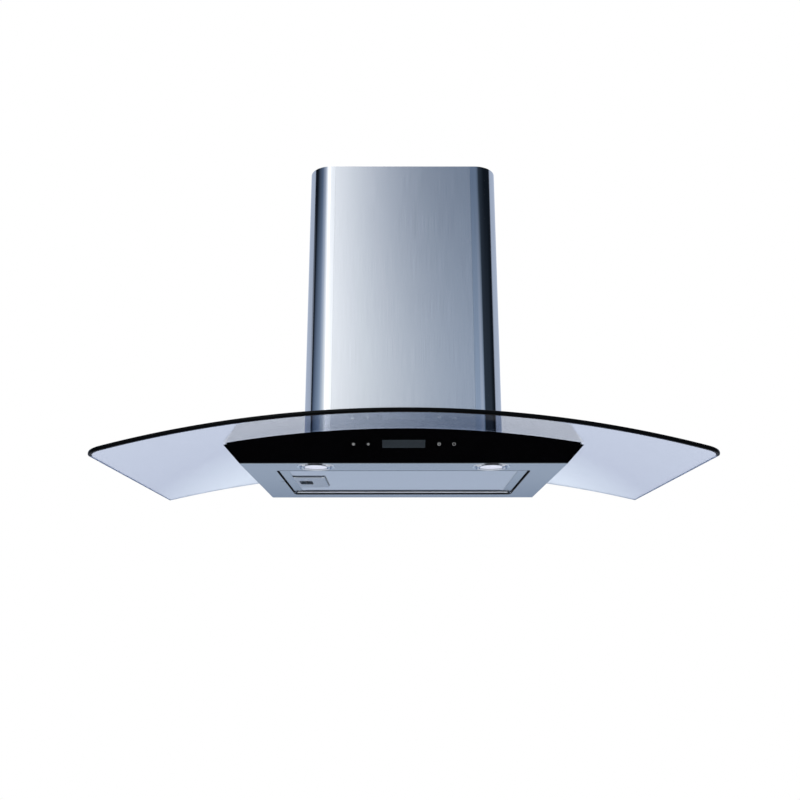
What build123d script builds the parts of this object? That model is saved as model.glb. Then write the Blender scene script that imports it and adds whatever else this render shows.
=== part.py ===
from build123d import *
from math import cos, degrees, radians, sin, sqrt, tan
import os

# Wall chimney hood, 90 cm wide, with an arched glass canopy. Millimetres.
# X runs to the right, Y runs towards the wall and Z is up.
# The origin is on the wall plane, in the middle of the casing's bottom rear edge.

# Sheet metal and fits
SHEET = 1.0
SLIDE_FIT = 0.5
LOOSE_FIT = 0.3
PIN_FIT = 0.1

# Glass canopy, an arch of one radius whose front edge is bowed in plan
GLASS_WIDTH = 900.0
GLASS_DEPTH = 500.0
GLASS_THICKNESS = 6.0
GLASS_CROWN = 46.7
ARCH_RADIUS = 1930.0
FRONT_BOW_RADIUS = 3116.0
GLASS_CORNER_RADIUS = 25.0
GLASS_EDGE_CHAMFER = 0.8
GLASS_WALL_GAP = 2.0
NOTCH_CLEARANCE = 3.0

# Casing under the glass
CASING_WIDTH = 502.0
CASING_DEPTH = 360.0
FRONT_LEAN = radians(38.7)
SIDE_FLARE = radians(41.6)
BEND_RADIUS = 1.5
GASKET_THICKNESS = 1.5
GASKET_WIDTH = 10.0
GASKET_INSET = 3.0

# Black glass fascia with a display and two keys each side of it
PANEL_THICKNESS = 4.0
PANEL_FLARE = radians(26.1)
PANEL_GLASS_GAP = 0.5
CONTROL_ROW = 32.9
DISPLAY_WIDTH = 65.0
DISPLAY_HEIGHT = 13.6
DISPLAY_RECESS = 0.1
DISPLAY_BORDER = 1.7
KEY_INNER_X = 53.5
KEY_OUTER_X = 76.0
KEY_RADIUS = 3.4
KEY_PROUD = 0.8
KEY_TRAVEL = 1.2
KEY_FLANGE_WIDTH = 8.6
KEY_FLANGE_THICKNESS = 0.8
KEY_STEM_WIDTH = 3.4
KEY_EDGE_CHAMFER = 0.4
CARRIER_THICKNESS = 4.0
CARRIER_MARGIN = 24.0
CARRIER_HEIGHT = 24.0
CONTROL_WINDOW_HEIGHT = 19.0
CARRIER_LAP = 8.0
POST_RADIUS = 3.0
POST_HEIGHT = 3.0
BOARD_THICKNESS = 1.6
BOARD_HEIGHT = 18.0
SWITCH_WIDTH = 6.0

# Filter opening, cassette and catch
OPENING_WIDTH = 406.0
OPENING_DEPTH = 243.0
OPENING_REAR = 53.0
OPENING_CORNER = 8.0
UPSTAND_HEIGHT = 14.0
FILTER_GAP = 2.5
FILTER_RECESS = 2.0
FILTER_THICKNESS = 9.0
FRAME_SHEET = 1.0
FRAME_LIP = 15.0
MESH_SHEET = 0.8
MESH_PITCH_X = 32.0
MESH_PITCH_Y = 18.0
MESH_STRAND = 2.4
SUPPORT_PITCH_X = 64.0
SUPPORT_PITCH_Y = 36.0
PIVOT_INSET = 10.5
PIVOT_RADIUS = 2.0
PIVOT_REACH = 1.5
PIVOT_HEAD_RADIUS = 3.2
PIVOT_SHANK = 4.0
LATCH_WIDTH = 53.0
LATCH_LENGTH = 106.0
LATCH_CORNER = 6.0
LATCH_PROUD = 1.7
BOLT_WIDTH = 18.0
BOLT_THICKNESS = 3.0
BOLT_THROW = 6.0
BOLT_TRAVEL = 6.5
LATCH_WALL = 4.0
POCKET_WIDTH = 22.0
POCKET_LENGTH = 36.0
POCKET_INSET = 17.5
FINGER_LIP = 2.0
FINGER_LIP_DROP = 3.5
SPRING_FLAT = 3.5
SPRING_STRIP = 0.6
STRIKE_FOOT = 16.0
STRIKE_SHEET = 0.7
STRIKE_LAP = 2.0

# Lamps
LAMP_X = 137.0
LAMP_FROM_FRONT = 32.0
LAMP_TRIM_RADIUS = 30.0
LAMP_HOLE_RADIUS = 26.0
LAMP_WINDOW_RADIUS = 17.6
LAMP_TRIM_DROP = 2.2
LAMP_SLEEVE_HEIGHT = 9.0
LAMP_LENS_THICKNESS = 2.6
LAMP_LIP = 1.9
LAMP_BODY_HEIGHT = 20.0
LAMP_DRIVER_WIDTH = 26.0
LAMP_DRIVER_DEPTH = 18.0

# Motor box standing in the glass's notch, with the wall fixings in its back
BOX_WIDTH = 284.0
BOX_DEPTH = 240.0
BOX_TOP = 292.0
BOX_FLANGE = 15.0
KEYHOLE_SPACING = 200.0
KEYHOLE_BELOW_TOP = 52.0
KEYHOLE_HEAD_RADIUS = 8.0
KEYHOLE_SLOT_RADIUS = 4.25
KEYHOLE_RISE = 14.0
FIXING_SPACING = 200.0
FIXING_HEIGHT = 76.0
FIXING_RADIUS = 4.25

# Blower, with its axis along X
FAN_FRONT_ROOM = 120.0
FAN_HEIGHT = 168.0
IMPELLER_RADIUS = 76.0
IMPELLER_LENGTH = 136.0
BLADE_COUNT = 30
BLADE_DEPTH = 13.0
BLADE_SWEEP = radians(9.0)
BLADE_BULGE = radians(1.5)
BLADE_THICKNESS = 1.2
RIM_WIDTH = 2.5
DISC_THICKNESS = 2.0
HUB_RADIUS = 12.0
HUB_LENGTH = 20.0
SHAFT_RADIUS = 4.0
SCROLL_CLEARANCE = 6.0
SCROLL_GROWTH = 8.0
SCROLL_WALL = 2.0
SCROLL_WIDTH = 152.0
TONGUE_ANGLE = radians(60.0)
INLET_RADIUS = 64.0
MOTOR_RADIUS = 44.0
MOTOR_START = 10.0
MOTOR_BORE_DEPTH = 30.0
BRACKET_PLATE = 2.0
BRACKET_HUB_RADIUS = 46.0
BRACKET_ARM_WIDTH = 16.0
BRACKET_ARMS = 3
BRACKET_LAP = 14.0
BRACKET_ARM_START = 90.0

# Outlet collar and its two flaps
COLLAR_RADIUS = 75.0
COLLAR_WALL = 2.5
COLLAR_HEIGHT = 55.0
COLLAR_FLANGE_RADIUS = 92.0
COLLAR_FLANGE_THICKNESS = 3.0
SEAT_HEIGHT = 20.0
SEAT_THICKNESS = 6.0
SEAT_WIDTH = 3.0
CROSSBAR_WIDTH = 14.0
EAR_THICKNESS = 4.0
EAR_RISE = 7.5
EAR_DEPTH = 18.0
EAR_END_GAP = 4.5
EAR_SIDE_GAP = 1.0
FLAP_THICKNESS = 1.5
FLAP_EDGE_GAP = 1.5
FLAP_PIN_OFFSET = 4.0
FLAP_PIN_RADIUS = 1.5
FLAP_PIN_RISE = 4.0
BARREL_RADIUS = 2.8

# Electrics on top of the box
TERMINAL_WIDTH = 60.0
TERMINAL_DEPTH = 70.0
TERMINAL_HEIGHT = 34.0
TERMINAL_WALL = 2.0
TERMINAL_INSET = 6.0
GLAND_RADIUS = 10.0
GLAND_HEIGHT = 14.0
GLAND_THREAD_RADIUS = 7.5
GLAND_THREAD_LENGTH = 8.0
GLAND_BORE_RADIUS = 4.0
CAPACITOR_RADIUS = 16.0
CAPACITOR_HEIGHT = 58.0
CAPACITOR_INSET = 30.0

# Chimney covers
CHIMNEY_SIDE_ROOM = 23.5
CHIMNEY_FRONT_ROOM = 45.0
CHIMNEY_TOP = 549.0
CHIMNEY_CORNER_RADIUS = 38.0
CHIMNEY_FLANGE = 15.0
CHIMNEY_GASKET_THICKNESS = 1.0
CHIMNEY_GASKET_WIDTH = 4.0
INNER_CHIMNEY_DROP = 2.0
INNER_CHIMNEY_LENGTH = 425.0
VENT_COUNT = 8
VENT_PITCH = 12.0
VENT_LENGTH = 90.0
VENT_HEIGHT = 5.0
VENT_BELOW_TOP = 40.0
CHIMNEY_BRACKET_SHEET = 1.5
CHIMNEY_BRACKET_LEG = 32.0
CHIMNEY_BRACKET_FROM_WALL = 10.0
CHIMNEY_BRACKET_HEIGHT = 46.0

# Clamps that grip the glass round its notch
CLAMP_SHEET = 1.5
CLAMP_REACH = 14.0
CLAMP_RISE = 24.0
CLAMP_SIDE_LENGTH = 120.0
CLAMP_FRONT_LENGTH = 180.0

# Arches concentric with the glass
ARCH_CENTRE = GLASS_CROWN - ARCH_RADIUS
PLATE_RADIUS = ARCH_RADIUS - GASKET_THICKNESS
WALL_RADIUS = PLATE_RADIUS - SHEET
GLASS_TOP_RADIUS = ARCH_RADIUS + GLASS_THICKNESS
CHIMNEY_FOOT_RADIUS = GLASS_TOP_RADIUS + CHIMNEY_GASKET_THICKNESS
ARCH_REACH = 2 * GLASS_DEPTH
FORM_TOP = GLASS_CROWN + 2 * GLASS_THICKNESS

# Places worked out from the sizes above
CASING_FRONT = CASING_DEPTH - PANEL_THICKNESS / cos(FRONT_LEAN)
FILTER_WIDTH = OPENING_WIDTH - 2 * FILTER_GAP
FILTER_DEPTH = OPENING_DEPTH - 2 * FILTER_GAP
FILTER_Y = -OPENING_REAR - OPENING_DEPTH / 2
FILTER_TOP = FILTER_RECESS + FILTER_THICKNESS
PIVOT_X = FILTER_WIDTH / 2 - PIVOT_INSET
PIVOT_Z = FILTER_RECESS + FILTER_THICKNESS / 2
LATCH_LEFT = -FILTER_WIDTH / 2 + FRAME_LIP + SLIDE_FIT
LATCH_RIGHT = LATCH_LEFT + LATCH_WIDTH
POCKET_X = LATCH_LEFT + POCKET_INSET
LATCH_BOTTOM = FILTER_RECESS - LATCH_PROUD
BOLT_BOTTOM = PIVOT_Z - BOLT_THICKNESS / 2
BOLT_TOP = PIVOT_Z + BOLT_THICKNESS / 2
BOLT_LEFT = -FILTER_WIDTH / 2 - BOLT_THROW
CHANNEL_RIGHT = LATCH_RIGHT - LATCH_WALL
BOLT_RIGHT = CHANNEL_RIGHT - BOLT_TRAVEL - SPRING_FLAT
LAMP_Y = -CASING_DEPTH + LAMP_FROM_FRONT
FAN_FROM_WALL = BOX_DEPTH - FAN_FRONT_ROOM
FAN_Y = -FAN_FROM_WALL
SCROLL_SIDE = SCROLL_WIDTH / 2
SCROLL_RADIUS = IMPELLER_RADIUS + SCROLL_CLEARANCE + SCROLL_WALL
SCROLL_TOP = BOX_TOP - SHEET - FAN_HEIGHT
SCROLL_FRONT = -SCROLL_RADIUS - 3 * SCROLL_GROWTH
TONGUE_Y = SCROLL_RADIUS * cos(TONGUE_ANGLE)
TONGUE_Z = SCROLL_RADIUS * sin(TONGUE_ANGLE)
COLLAR_Y = FAN_Y + (SCROLL_FRONT + TONGUE_Y) / 2
COLLAR_BORE = COLLAR_RADIUS - COLLAR_WALL
FLAP_RADIUS = COLLAR_BORE - FLAP_EDGE_GAP
FLAP_PIN_Z = SEAT_HEIGHT + FLAP_PIN_RISE
EAR_END_X = COLLAR_BORE - EAR_END_GAP - EAR_THICKNESS / 2
FLAP_PIN_POINTS = [(COLLAR_Y + side * FLAP_PIN_OFFSET, BOX_TOP + FLAP_PIN_Z) for side in (-1, 1)]
CHIMNEY_WIDTH = BOX_WIDTH + 2 * CHIMNEY_SIDE_ROOM
CHIMNEY_DEPTH = BOX_DEPTH + CHIMNEY_FRONT_ROOM
CHIMNEY_SIDE = CHIMNEY_WIDTH / 2
INNER_CHIMNEY_BOTTOM = CHIMNEY_TOP - INNER_CHIMNEY_DROP - INNER_CHIMNEY_LENGTH
BRACKET_BOTTOM = INNER_CHIMNEY_BOTTOM - LOOSE_FIT - CHIMNEY_BRACKET_HEIGHT
AIR_WIDTH = BOX_WIDTH - 2 * (SHEET + BOX_FLANGE)
AIR_DEPTH = BOX_DEPTH - 2 * (SHEET + BOX_FLANGE)
KEYHOLE_Z = BOX_TOP - KEYHOLE_BELOW_TOP
CLAMP_Y = -BOX_DEPTH / 2
BRACKET_REACH = INLET_RADIUS + BRACKET_LAP

# Depths behind the fascia's face
CARRIER_FRONT = PANEL_THICKNESS + SHEET
CARRIER_BACK = CARRIER_FRONT + CARRIER_THICKNESS
BOARD_FRONT = CARRIER_BACK + POST_HEIGHT
KEY_FLANGE_FRONT = PANEL_THICKNESS + LOOSE_FIT
KEY_FLANGE_BACK = KEY_FLANGE_FRONT + KEY_FLANGE_THICKNESS
KEY_SEAT = KEY_FLANGE_BACK + KEY_TRAVEL + LOOSE_FIT
SWITCH_HEIGHT = POST_HEIGHT / 2
STEM_END = BOARD_FRONT - SWITCH_HEIGHT - KEY_TRAVEL - LOOSE_FIT
CARRIER_WIDTH = 2 * (KEY_OUTER_X + CARRIER_MARGIN)
CONTROL_WINDOW_WIDTH = CARRIER_WIDTH - 2 * CARRIER_LAP
KEYS = {
    "key_light": -KEY_OUTER_X,
    "key_power": -KEY_INNER_X,
    "key_slower": KEY_INNER_X,
    "key_faster": KEY_OUTER_X,
}

# Working planes
front_plane = Plane(
    origin=(0, -CASING_DEPTH, 0),
    x_dir=(1, 0, 0),
    z_dir=(0, -cos(FRONT_LEAN), -sin(FRONT_LEAN)),
)
fan_plane = Plane(origin=(0, FAN_Y, FAN_HEIGHT), x_dir=(0, 1, 0), z_dir=(1, 0, 0))
collar_plane = Plane(origin=(0, COLLAR_Y, BOX_TOP))
terminal_plane = Plane(
    origin=(
        TERMINAL_INSET + (TERMINAL_WIDTH - BOX_WIDTH) / 2,
        -TERMINAL_INSET - TERMINAL_DEPTH / 2,
        BOX_TOP,
    )
)

os.makedirs("parts", exist_ok=True)


def save(piece, name):
    """Label a finished piece and write it under its own name."""
    piece.part.label = name
    export_step(piece.part, f"parts/{name}.step")


def arch_height(x, radius):
    """Height of an arch of this radius, concentric with the glass, at this x."""
    return ARCH_CENTRE + sqrt(radius**2 - x**2)


def arch_body(radius, mode):
    """All that lies under an arch of this radius, over the hood's whole depth."""
    with BuildSketch(Plane.XZ.offset(-GLASS_DEPTH / 2)) as disc:
        with Locations((0, ARCH_CENTRE)):
            Circle(radius)
    extrude(disc.sketch, amount=ARCH_REACH, mode=mode)


def arch_layer(inner_radius, outer_radius):
    """Keep only what lies between two arches."""
    with BuildSketch(Plane.XZ.offset(-GLASS_DEPTH / 2)) as ring:
        with Locations((0, ARCH_CENTRE)):
            Circle(outer_radius)
            Circle(inner_radius, mode=Mode.SUBTRACT)
    extrude(ring.sketch, amount=ARCH_REACH, mode=Mode.INTERSECT)


def casing_form(inset, floor, mode=Mode.ADD):
    """Tapered form of the casing, drawn in square to each wall, from floor to above the glass."""
    sections = []
    for height in (floor, FORM_TOP):
        half_width = CASING_WIDTH / 2 + height * tan(SIDE_FLARE) - inset / cos(SIDE_FLARE)
        front = CASING_FRONT + height * tan(FRONT_LEAN) - inset / cos(FRONT_LEAN)
        with BuildSketch(Plane(origin=(0, -inset, height))) as section:
            Rectangle(2 * half_width, front - inset, align=(Align.CENTER, Align.MAX))
        sections.append(section.sketch.face())
    loft(sections, mode=mode)


# Glass canopy
GLASS_SIDE_FRONT = -GLASS_DEPTH + FRONT_BOW_RADIUS - sqrt(FRONT_BOW_RADIUS**2 - (GLASS_WIDTH / 2) ** 2)


def outside_notch(edge):
    """True for an edge of the glass that isn't part of the notch for the motor box."""
    centre = edge.center()
    beside = abs(centre.X) > BOX_WIDTH / 2 + NOTCH_CLEARANCE + GLASS_EDGE_CHAMFER
    return beside or centre.Y < -BOX_DEPTH - NOTCH_CLEARANCE - GLASS_EDGE_CHAMFER


with BuildPart() as glass_canopy:
    with BuildSketch(Plane.XY.offset(-GLASS_DEPTH / 2)) as glass_plan:
        with BuildLine():
            ThreePointArc(
                (-GLASS_WIDTH / 2, GLASS_SIDE_FRONT), (0, -GLASS_DEPTH), (GLASS_WIDTH / 2, GLASS_SIDE_FRONT)
            )
            Polyline(
                (GLASS_WIDTH / 2, GLASS_SIDE_FRONT),
                (GLASS_WIDTH / 2, -GLASS_WALL_GAP),
                (-GLASS_WIDTH / 2, -GLASS_WALL_GAP),
                (-GLASS_WIDTH / 2, GLASS_SIDE_FRONT),
            )
        make_face()
        fillet(glass_plan.vertices().group_by(Axis.Y)[0], GLASS_CORNER_RADIUS)
        Rectangle(
            BOX_WIDTH + 2 * NOTCH_CLEARANCE,
            BOX_DEPTH + NOTCH_CLEARANCE,
            align=(Align.CENTER, Align.MAX),
            mode=Mode.SUBTRACT,
        )
    extrude(amount=GLASS_DEPTH)
    arch_layer(ARCH_RADIUS, GLASS_TOP_RADIUS)
    rims = glass_canopy.edges().filter_by(Axis.Z, reverse=True)
    chamfer(rims.filter_by(outside_notch), GLASS_EDGE_CHAMFER)
save(glass_canopy, "glass_canopy")

# Lower casing, with the filter's upstand, lamp holes, hinge holes and control window
with BuildPart() as lower_casing:
    casing_form(0, 0)
    fillet(lower_casing.edges().filter_by(Axis.Y).group_by(Axis.Z)[0], BEND_RADIUS)
    arch_body(WALL_RADIUS, Mode.INTERSECT)
    casing_form(SHEET, SHEET, Mode.SUBTRACT)
    with BuildSketch():
        with Locations((0, FILTER_Y)):
            RectangleRounded(OPENING_WIDTH + 2 * SHEET, OPENING_DEPTH + 2 * SHEET, OPENING_CORNER + SHEET)
    extrude(amount=UPSTAND_HEIGHT)
    with BuildSketch():
        with Locations((0, FILTER_Y)):
            RectangleRounded(OPENING_WIDTH, OPENING_DEPTH, OPENING_CORNER)
    extrude(amount=UPSTAND_HEIGHT, mode=Mode.SUBTRACT)
    with BuildSketch():
        with Locations((-LAMP_X, LAMP_Y), (LAMP_X, LAMP_Y)):
            Circle(LAMP_HOLE_RADIUS)
    extrude(amount=SHEET, mode=Mode.SUBTRACT)
    with BuildSketch(Plane.XZ.offset(OPENING_REAR - 2 * SHEET)):
        with Locations((PIVOT_X, PIVOT_Z)):
            Circle(PIVOT_RADIUS + LOOSE_FIT)
    extrude(amount=OPENING_DEPTH + 4 * SHEET, mode=Mode.SUBTRACT)
    with BuildSketch():
        with Locations((-OPENING_WIDTH / 2, FILTER_Y)):
            Rectangle(2 * BOLT_THROW, BOLT_WIDTH + 8 * SLIDE_FIT)
    extrude(amount=BOLT_TOP + 2 * SLIDE_FIT, mode=Mode.SUBTRACT)
    with BuildSketch(front_plane.offset(-PANEL_THICKNESS)):
        with Locations((0, CONTROL_ROW)):
            Rectangle(CONTROL_WINDOW_WIDTH, CONTROL_WINDOW_HEIGHT)
    extrude(amount=-2 * SHEET, mode=Mode.SUBTRACT)
save(lower_casing, "lower_casing")

# Top plate, arched like the glass, with the air opening under the motor box
with BuildPart() as top_plate:
    casing_form(0, 0)
    arch_layer(WALL_RADIUS, PLATE_RADIUS)
    with BuildSketch(Plane((0, -SHEET - BOX_FLANGE, 0))):
        Rectangle(AIR_WIDTH, AIR_DEPTH, align=(Align.CENTER, Align.MAX))
    extrude(amount=FORM_TOP, mode=Mode.SUBTRACT)
save(top_plate, "top_plate")

# Silicone gasket between the top plate and the glass
with BuildPart() as glass_gasket:
    casing_form(GASKET_INSET, 0)
    casing_form(GASKET_INSET + GASKET_WIDTH, 0, Mode.SUBTRACT)
    arch_layer(PLATE_RADIUS, ARCH_RADIUS)
    with BuildSketch():
        Rectangle(
            BOX_WIDTH + 2 * NOTCH_CLEARANCE, BOX_DEPTH + NOTCH_CLEARANCE, align=(Align.CENTER, Align.MAX)
        )
    extrude(amount=FORM_TOP, mode=Mode.SUBTRACT)
save(glass_gasket, "glass_gasket")

# Black glass fascia, trimmed along the canopy's underside
PANEL_FOOT = -PANEL_THICKNESS * tan(FRONT_LEAN) - SHEET
PANEL_HEAD = FORM_TOP / cos(FRONT_LEAN)
PANEL_FOOT_HALF = CASING_WIDTH / 2 + PANEL_FOOT * tan(PANEL_FLARE)
PANEL_HEAD_HALF = CASING_WIDTH / 2 + PANEL_HEAD * tan(PANEL_FLARE)

with BuildPart() as control_panel:
    with BuildSketch(front_plane):
        with BuildLine():
            Polyline(
                (-PANEL_FOOT_HALF, PANEL_FOOT),
                (PANEL_FOOT_HALF, PANEL_FOOT),
                (PANEL_HEAD_HALF, PANEL_HEAD),
                (-PANEL_HEAD_HALF, PANEL_HEAD),
                close=True,
            )
        make_face()
        with Locations([(x, CONTROL_ROW) for x in KEYS.values()]):
            Circle(KEY_RADIUS + LOOSE_FIT, mode=Mode.SUBTRACT)
        with Locations((0, CONTROL_ROW)):
            Rectangle(DISPLAY_WIDTH, DISPLAY_HEIGHT, mode=Mode.SUBTRACT)
    extrude(amount=-PANEL_THICKNESS)
    arch_body(ARCH_RADIUS - PANEL_GLASS_GAP, Mode.INTERSECT)
    split(bisect_by=Plane.XY, keep=Keep.TOP)
save(control_panel, "control_panel")

# Display: the window in the fascia and the module behind it
with BuildPart() as display_lens:
    with BuildSketch(front_plane.offset(-DISPLAY_RECESS)):
        with Locations((0, CONTROL_ROW)):
            Rectangle(DISPLAY_WIDTH - 2 * PIN_FIT, DISPLAY_HEIGHT - 2 * PIN_FIT)
    extrude(amount=DISPLAY_RECESS - PANEL_THICKNESS)
save(display_lens, "display_lens")

MODULE_WIDTH = DISPLAY_WIDTH + 2 * DISPLAY_BORDER
MODULE_HEIGHT = DISPLAY_HEIGHT + 2 * DISPLAY_BORDER

with BuildPart() as display_module:
    with BuildSketch(front_plane.offset(-PANEL_THICKNESS)):
        with Locations((0, CONTROL_ROW)):
            Rectangle(MODULE_WIDTH, MODULE_HEIGHT)
    extrude(amount=PANEL_THICKNESS - BOARD_FRONT)
save(display_module, "display_module")

# Carrier behind the fascia, which guides the keys, and the board on its posts
with BuildPart() as control_carrier:
    with BuildSketch(front_plane.offset(-CARRIER_FRONT)):
        with Locations((0, CONTROL_ROW)):
            Rectangle(CARRIER_WIDTH, CARRIER_HEIGHT)
            Rectangle(MODULE_WIDTH + 2 * SLIDE_FIT, MODULE_HEIGHT + 2 * SLIDE_FIT, mode=Mode.SUBTRACT)
        with Locations([(x, CONTROL_ROW) for x in KEYS.values()]):
            Rectangle(KEY_STEM_WIDTH + 2 * LOOSE_FIT, KEY_STEM_WIDTH + 2 * LOOSE_FIT, mode=Mode.SUBTRACT)
    extrude(amount=-CARRIER_THICKNESS)
    with BuildSketch(front_plane.offset(-CARRIER_FRONT)):
        with Locations([(x, CONTROL_ROW) for x in KEYS.values()]):
            Rectangle(KEY_FLANGE_WIDTH + 2 * LOOSE_FIT, KEY_FLANGE_WIDTH + 2 * LOOSE_FIT)
    extrude(amount=CARRIER_FRONT - KEY_SEAT, mode=Mode.SUBTRACT)
    with BuildSketch(front_plane.offset(-CARRIER_BACK)):
        for side in (-1, 1):
            with Locations((side * (KEY_OUTER_X + CARRIER_MARGIN / 2), CONTROL_ROW)):
                Circle(POST_RADIUS)
    extrude(amount=-POST_HEIGHT)
save(control_carrier, "control_carrier")

with BuildPart() as control_board:
    with BuildSketch(front_plane.offset(-BOARD_FRONT)):
        with Locations((0, CONTROL_ROW)):
            Rectangle(CARRIER_WIDTH - POST_RADIUS, BOARD_HEIGHT)
    extrude(amount=-BOARD_THICKNESS)
    with BuildSketch(front_plane.offset(-BOARD_FRONT)):
        with Locations([(x, CONTROL_ROW) for x in KEYS.values()]):
            Rectangle(SWITCH_WIDTH, SWITCH_WIDTH)
    extrude(amount=SWITCH_HEIGHT)
save(control_board, "control_board")

# Four push keys, each a round cap on a square flange and stem
for key_name, key_x in KEYS.items():
    with BuildPart() as key:
        with BuildSketch(front_plane.offset(KEY_PROUD)):
            with Locations((key_x, CONTROL_ROW)):
                Circle(KEY_RADIUS)
        extrude(amount=-KEY_PROUD - KEY_FLANGE_FRONT)
        chamfer(key.edges().sort_by(Axis((0, 0, 0), front_plane.z_dir))[-1], KEY_EDGE_CHAMFER)
        for width, front, back in (
            (KEY_FLANGE_WIDTH, KEY_FLANGE_FRONT, KEY_FLANGE_BACK),
            (KEY_STEM_WIDTH, KEY_FLANGE_BACK, STEM_END),
        ):
            with BuildSketch(front_plane.offset(-front)):
                with Locations((key_x, CONTROL_ROW)):
                    Rectangle(width, width)
            extrude(amount=front - back)
    save(key, key_name)

# Lamps: a chromed trim with a sleeve through the casing, a lens on its lip, and the light engine
LENS_RADIUS = LAMP_WINDOW_RADIUS + LAMP_LIP
SLEEVE_OUTER = LAMP_HOLE_RADIUS - SLIDE_FIT
SLEEVE_INNER = LENS_RADIUS + LOOSE_FIT
LENS_SEAT = -LAMP_TRIM_DROP + LAMP_LIP
LENS_TOP = LENS_SEAT + LAMP_LENS_THICKNESS

for lamp_side, lamp_x in (("left", -LAMP_X), ("right", LAMP_X)):
    lamp_plane = Plane(origin=(lamp_x, LAMP_Y, 0), x_dir=(1, 0, 0), z_dir=(0, -1, 0))
    lamp_axis = Axis((lamp_x, LAMP_Y, 0), (0, 0, 1))
    with BuildPart() as lamp_trim:
        with BuildSketch(lamp_plane):
            with BuildLine():
                Polyline(
                    (LAMP_WINDOW_RADIUS, LENS_SEAT),
                    (LAMP_WINDOW_RADIUS + LAMP_LIP, -LAMP_TRIM_DROP),
                    (LAMP_TRIM_RADIUS - LAMP_LIP, -LAMP_TRIM_DROP),
                    (LAMP_TRIM_RADIUS, LENS_SEAT),
                    (LAMP_TRIM_RADIUS, 0),
                    (SLEEVE_OUTER, 0),
                    (SLEEVE_OUTER, LAMP_SLEEVE_HEIGHT),
                    (SLEEVE_INNER, LAMP_SLEEVE_HEIGHT),
                    (SLEEVE_INNER, LENS_SEAT),
                    close=True,
                )
            make_face()
        revolve(axis=lamp_axis)
    save(lamp_trim, f"lamp_trim_{lamp_side}")
    with BuildPart() as lamp_lens:
        with BuildSketch(Plane((lamp_x, LAMP_Y, LENS_SEAT))):
            Circle(LENS_RADIUS)
        extrude(amount=LAMP_LENS_THICKNESS)
    save(lamp_lens, f"lamp_lens_{lamp_side}")
    with BuildPart() as lamp_holder:
        with BuildSketch(Plane((lamp_x, LAMP_Y, LENS_TOP))):
            Circle(LENS_RADIUS)
        extrude(amount=LAMP_SLEEVE_HEIGHT - LENS_TOP)
        with BuildSketch(Plane((lamp_x, LAMP_Y, LAMP_SLEEVE_HEIGHT))):
            Rectangle(LAMP_DRIVER_WIDTH, LAMP_DRIVER_DEPTH)
        extrude(amount=LAMP_BODY_HEIGHT - LAMP_SLEEVE_HEIGHT)
    save(lamp_holder, f"lamp_holder_{lamp_side}")

# Filter cassette: a channel frame round a pack of mesh layers
WINDOW_WIDTH = FILTER_WIDTH - 2 * FRAME_LIP
WINDOW_DEPTH = FILTER_DEPTH - 2 * FRAME_LIP
FILTER_CORNER = OPENING_CORNER - FILTER_GAP
PACK_HALF_WIDTH = PIVOT_X - PIVOT_HEAD_RADIUS
PACK_DEPTH = FILTER_DEPTH - 2 * FRAME_SHEET - 2 * LOOSE_FIT
PACK_BOTTOM = FILTER_RECESS + FRAME_SHEET
PACK_TOP = FILTER_TOP - FRAME_SHEET
FILTER_FRONT = FILTER_Y - FILTER_DEPTH / 2

with BuildPart() as filter_frame:
    with BuildSketch(Plane.XY.offset(FILTER_RECESS)):
        with Locations((0, FILTER_Y)):
            RectangleRounded(FILTER_WIDTH, FILTER_DEPTH, FILTER_CORNER)
            Rectangle(WINDOW_WIDTH, WINDOW_DEPTH, mode=Mode.SUBTRACT)
    extrude(amount=FILTER_THICKNESS)
    with BuildSketch(Plane.XY.offset(PACK_BOTTOM)):
        with Locations((0, FILTER_Y)):
            RectangleRounded(
                FILTER_WIDTH - 2 * FRAME_SHEET, FILTER_DEPTH - 2 * FRAME_SHEET, FILTER_CORNER - FRAME_SHEET
            )
    extrude(amount=PACK_TOP - PACK_BOTTOM, mode=Mode.SUBTRACT)
    with BuildSketch(Plane.XZ.offset(OPENING_REAR)):
        with Locations((PIVOT_X, PIVOT_Z)):
            Circle(PIVOT_RADIUS + PIN_FIT)
    extrude(amount=OPENING_DEPTH, mode=Mode.SUBTRACT)
    with BuildSketch(Plane.XY.offset(BOLT_BOTTOM - SLIDE_FIT)):
        with Locations((-FILTER_WIDTH / 2, FILTER_Y)):
            Rectangle(FRAME_LIP, BOLT_WIDTH + 2 * SLIDE_FIT)
    extrude(amount=BOLT_THICKNESS + 2 * SLIDE_FIT, mode=Mode.SUBTRACT)
save(filter_frame, "filter_frame")

# Layers of the pack: expanded mesh below, the packed core, and a coarser mesh that holds it on top
MESH_LAYERS = (
    ("filter_outer_mesh", PACK_BOTTOM, PACK_BOTTOM + MESH_SHEET, (MESH_PITCH_X, MESH_PITCH_Y)),
    ("filter_core", PACK_BOTTOM + MESH_SHEET, PACK_TOP - MESH_SHEET, None),
    ("filter_inner_mesh", PACK_TOP - MESH_SHEET, PACK_TOP, (SUPPORT_PITCH_X, SUPPORT_PITCH_Y)),
)


def mesh_places(pitch_x, pitch_y):
    """Centres of an expanded mesh's diamonds, in staggered rows, clear of the lip and the catch."""
    places = []
    rows = int(WINDOW_DEPTH / pitch_y)
    for row in range(-rows, rows + 1):
        shift = pitch_x / 2 * (row % 2)
        columns = int(WINDOW_WIDTH / pitch_x)
        for column in range(-columns, columns + 1):
            x = column * pitch_x + shift
            y = row * pitch_y / 2
            in_window = abs(x) + pitch_x / 2 < WINDOW_WIDTH / 2 and abs(y) + pitch_y / 2 < WINDOW_DEPTH / 2
            by_catch = x - pitch_x / 2 < LATCH_RIGHT + SLIDE_FIT and abs(y) - pitch_y / 2 < LATCH_LENGTH / 2
            if in_window and not by_catch:
                places.append((x, FILTER_Y + y))
    return places


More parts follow.
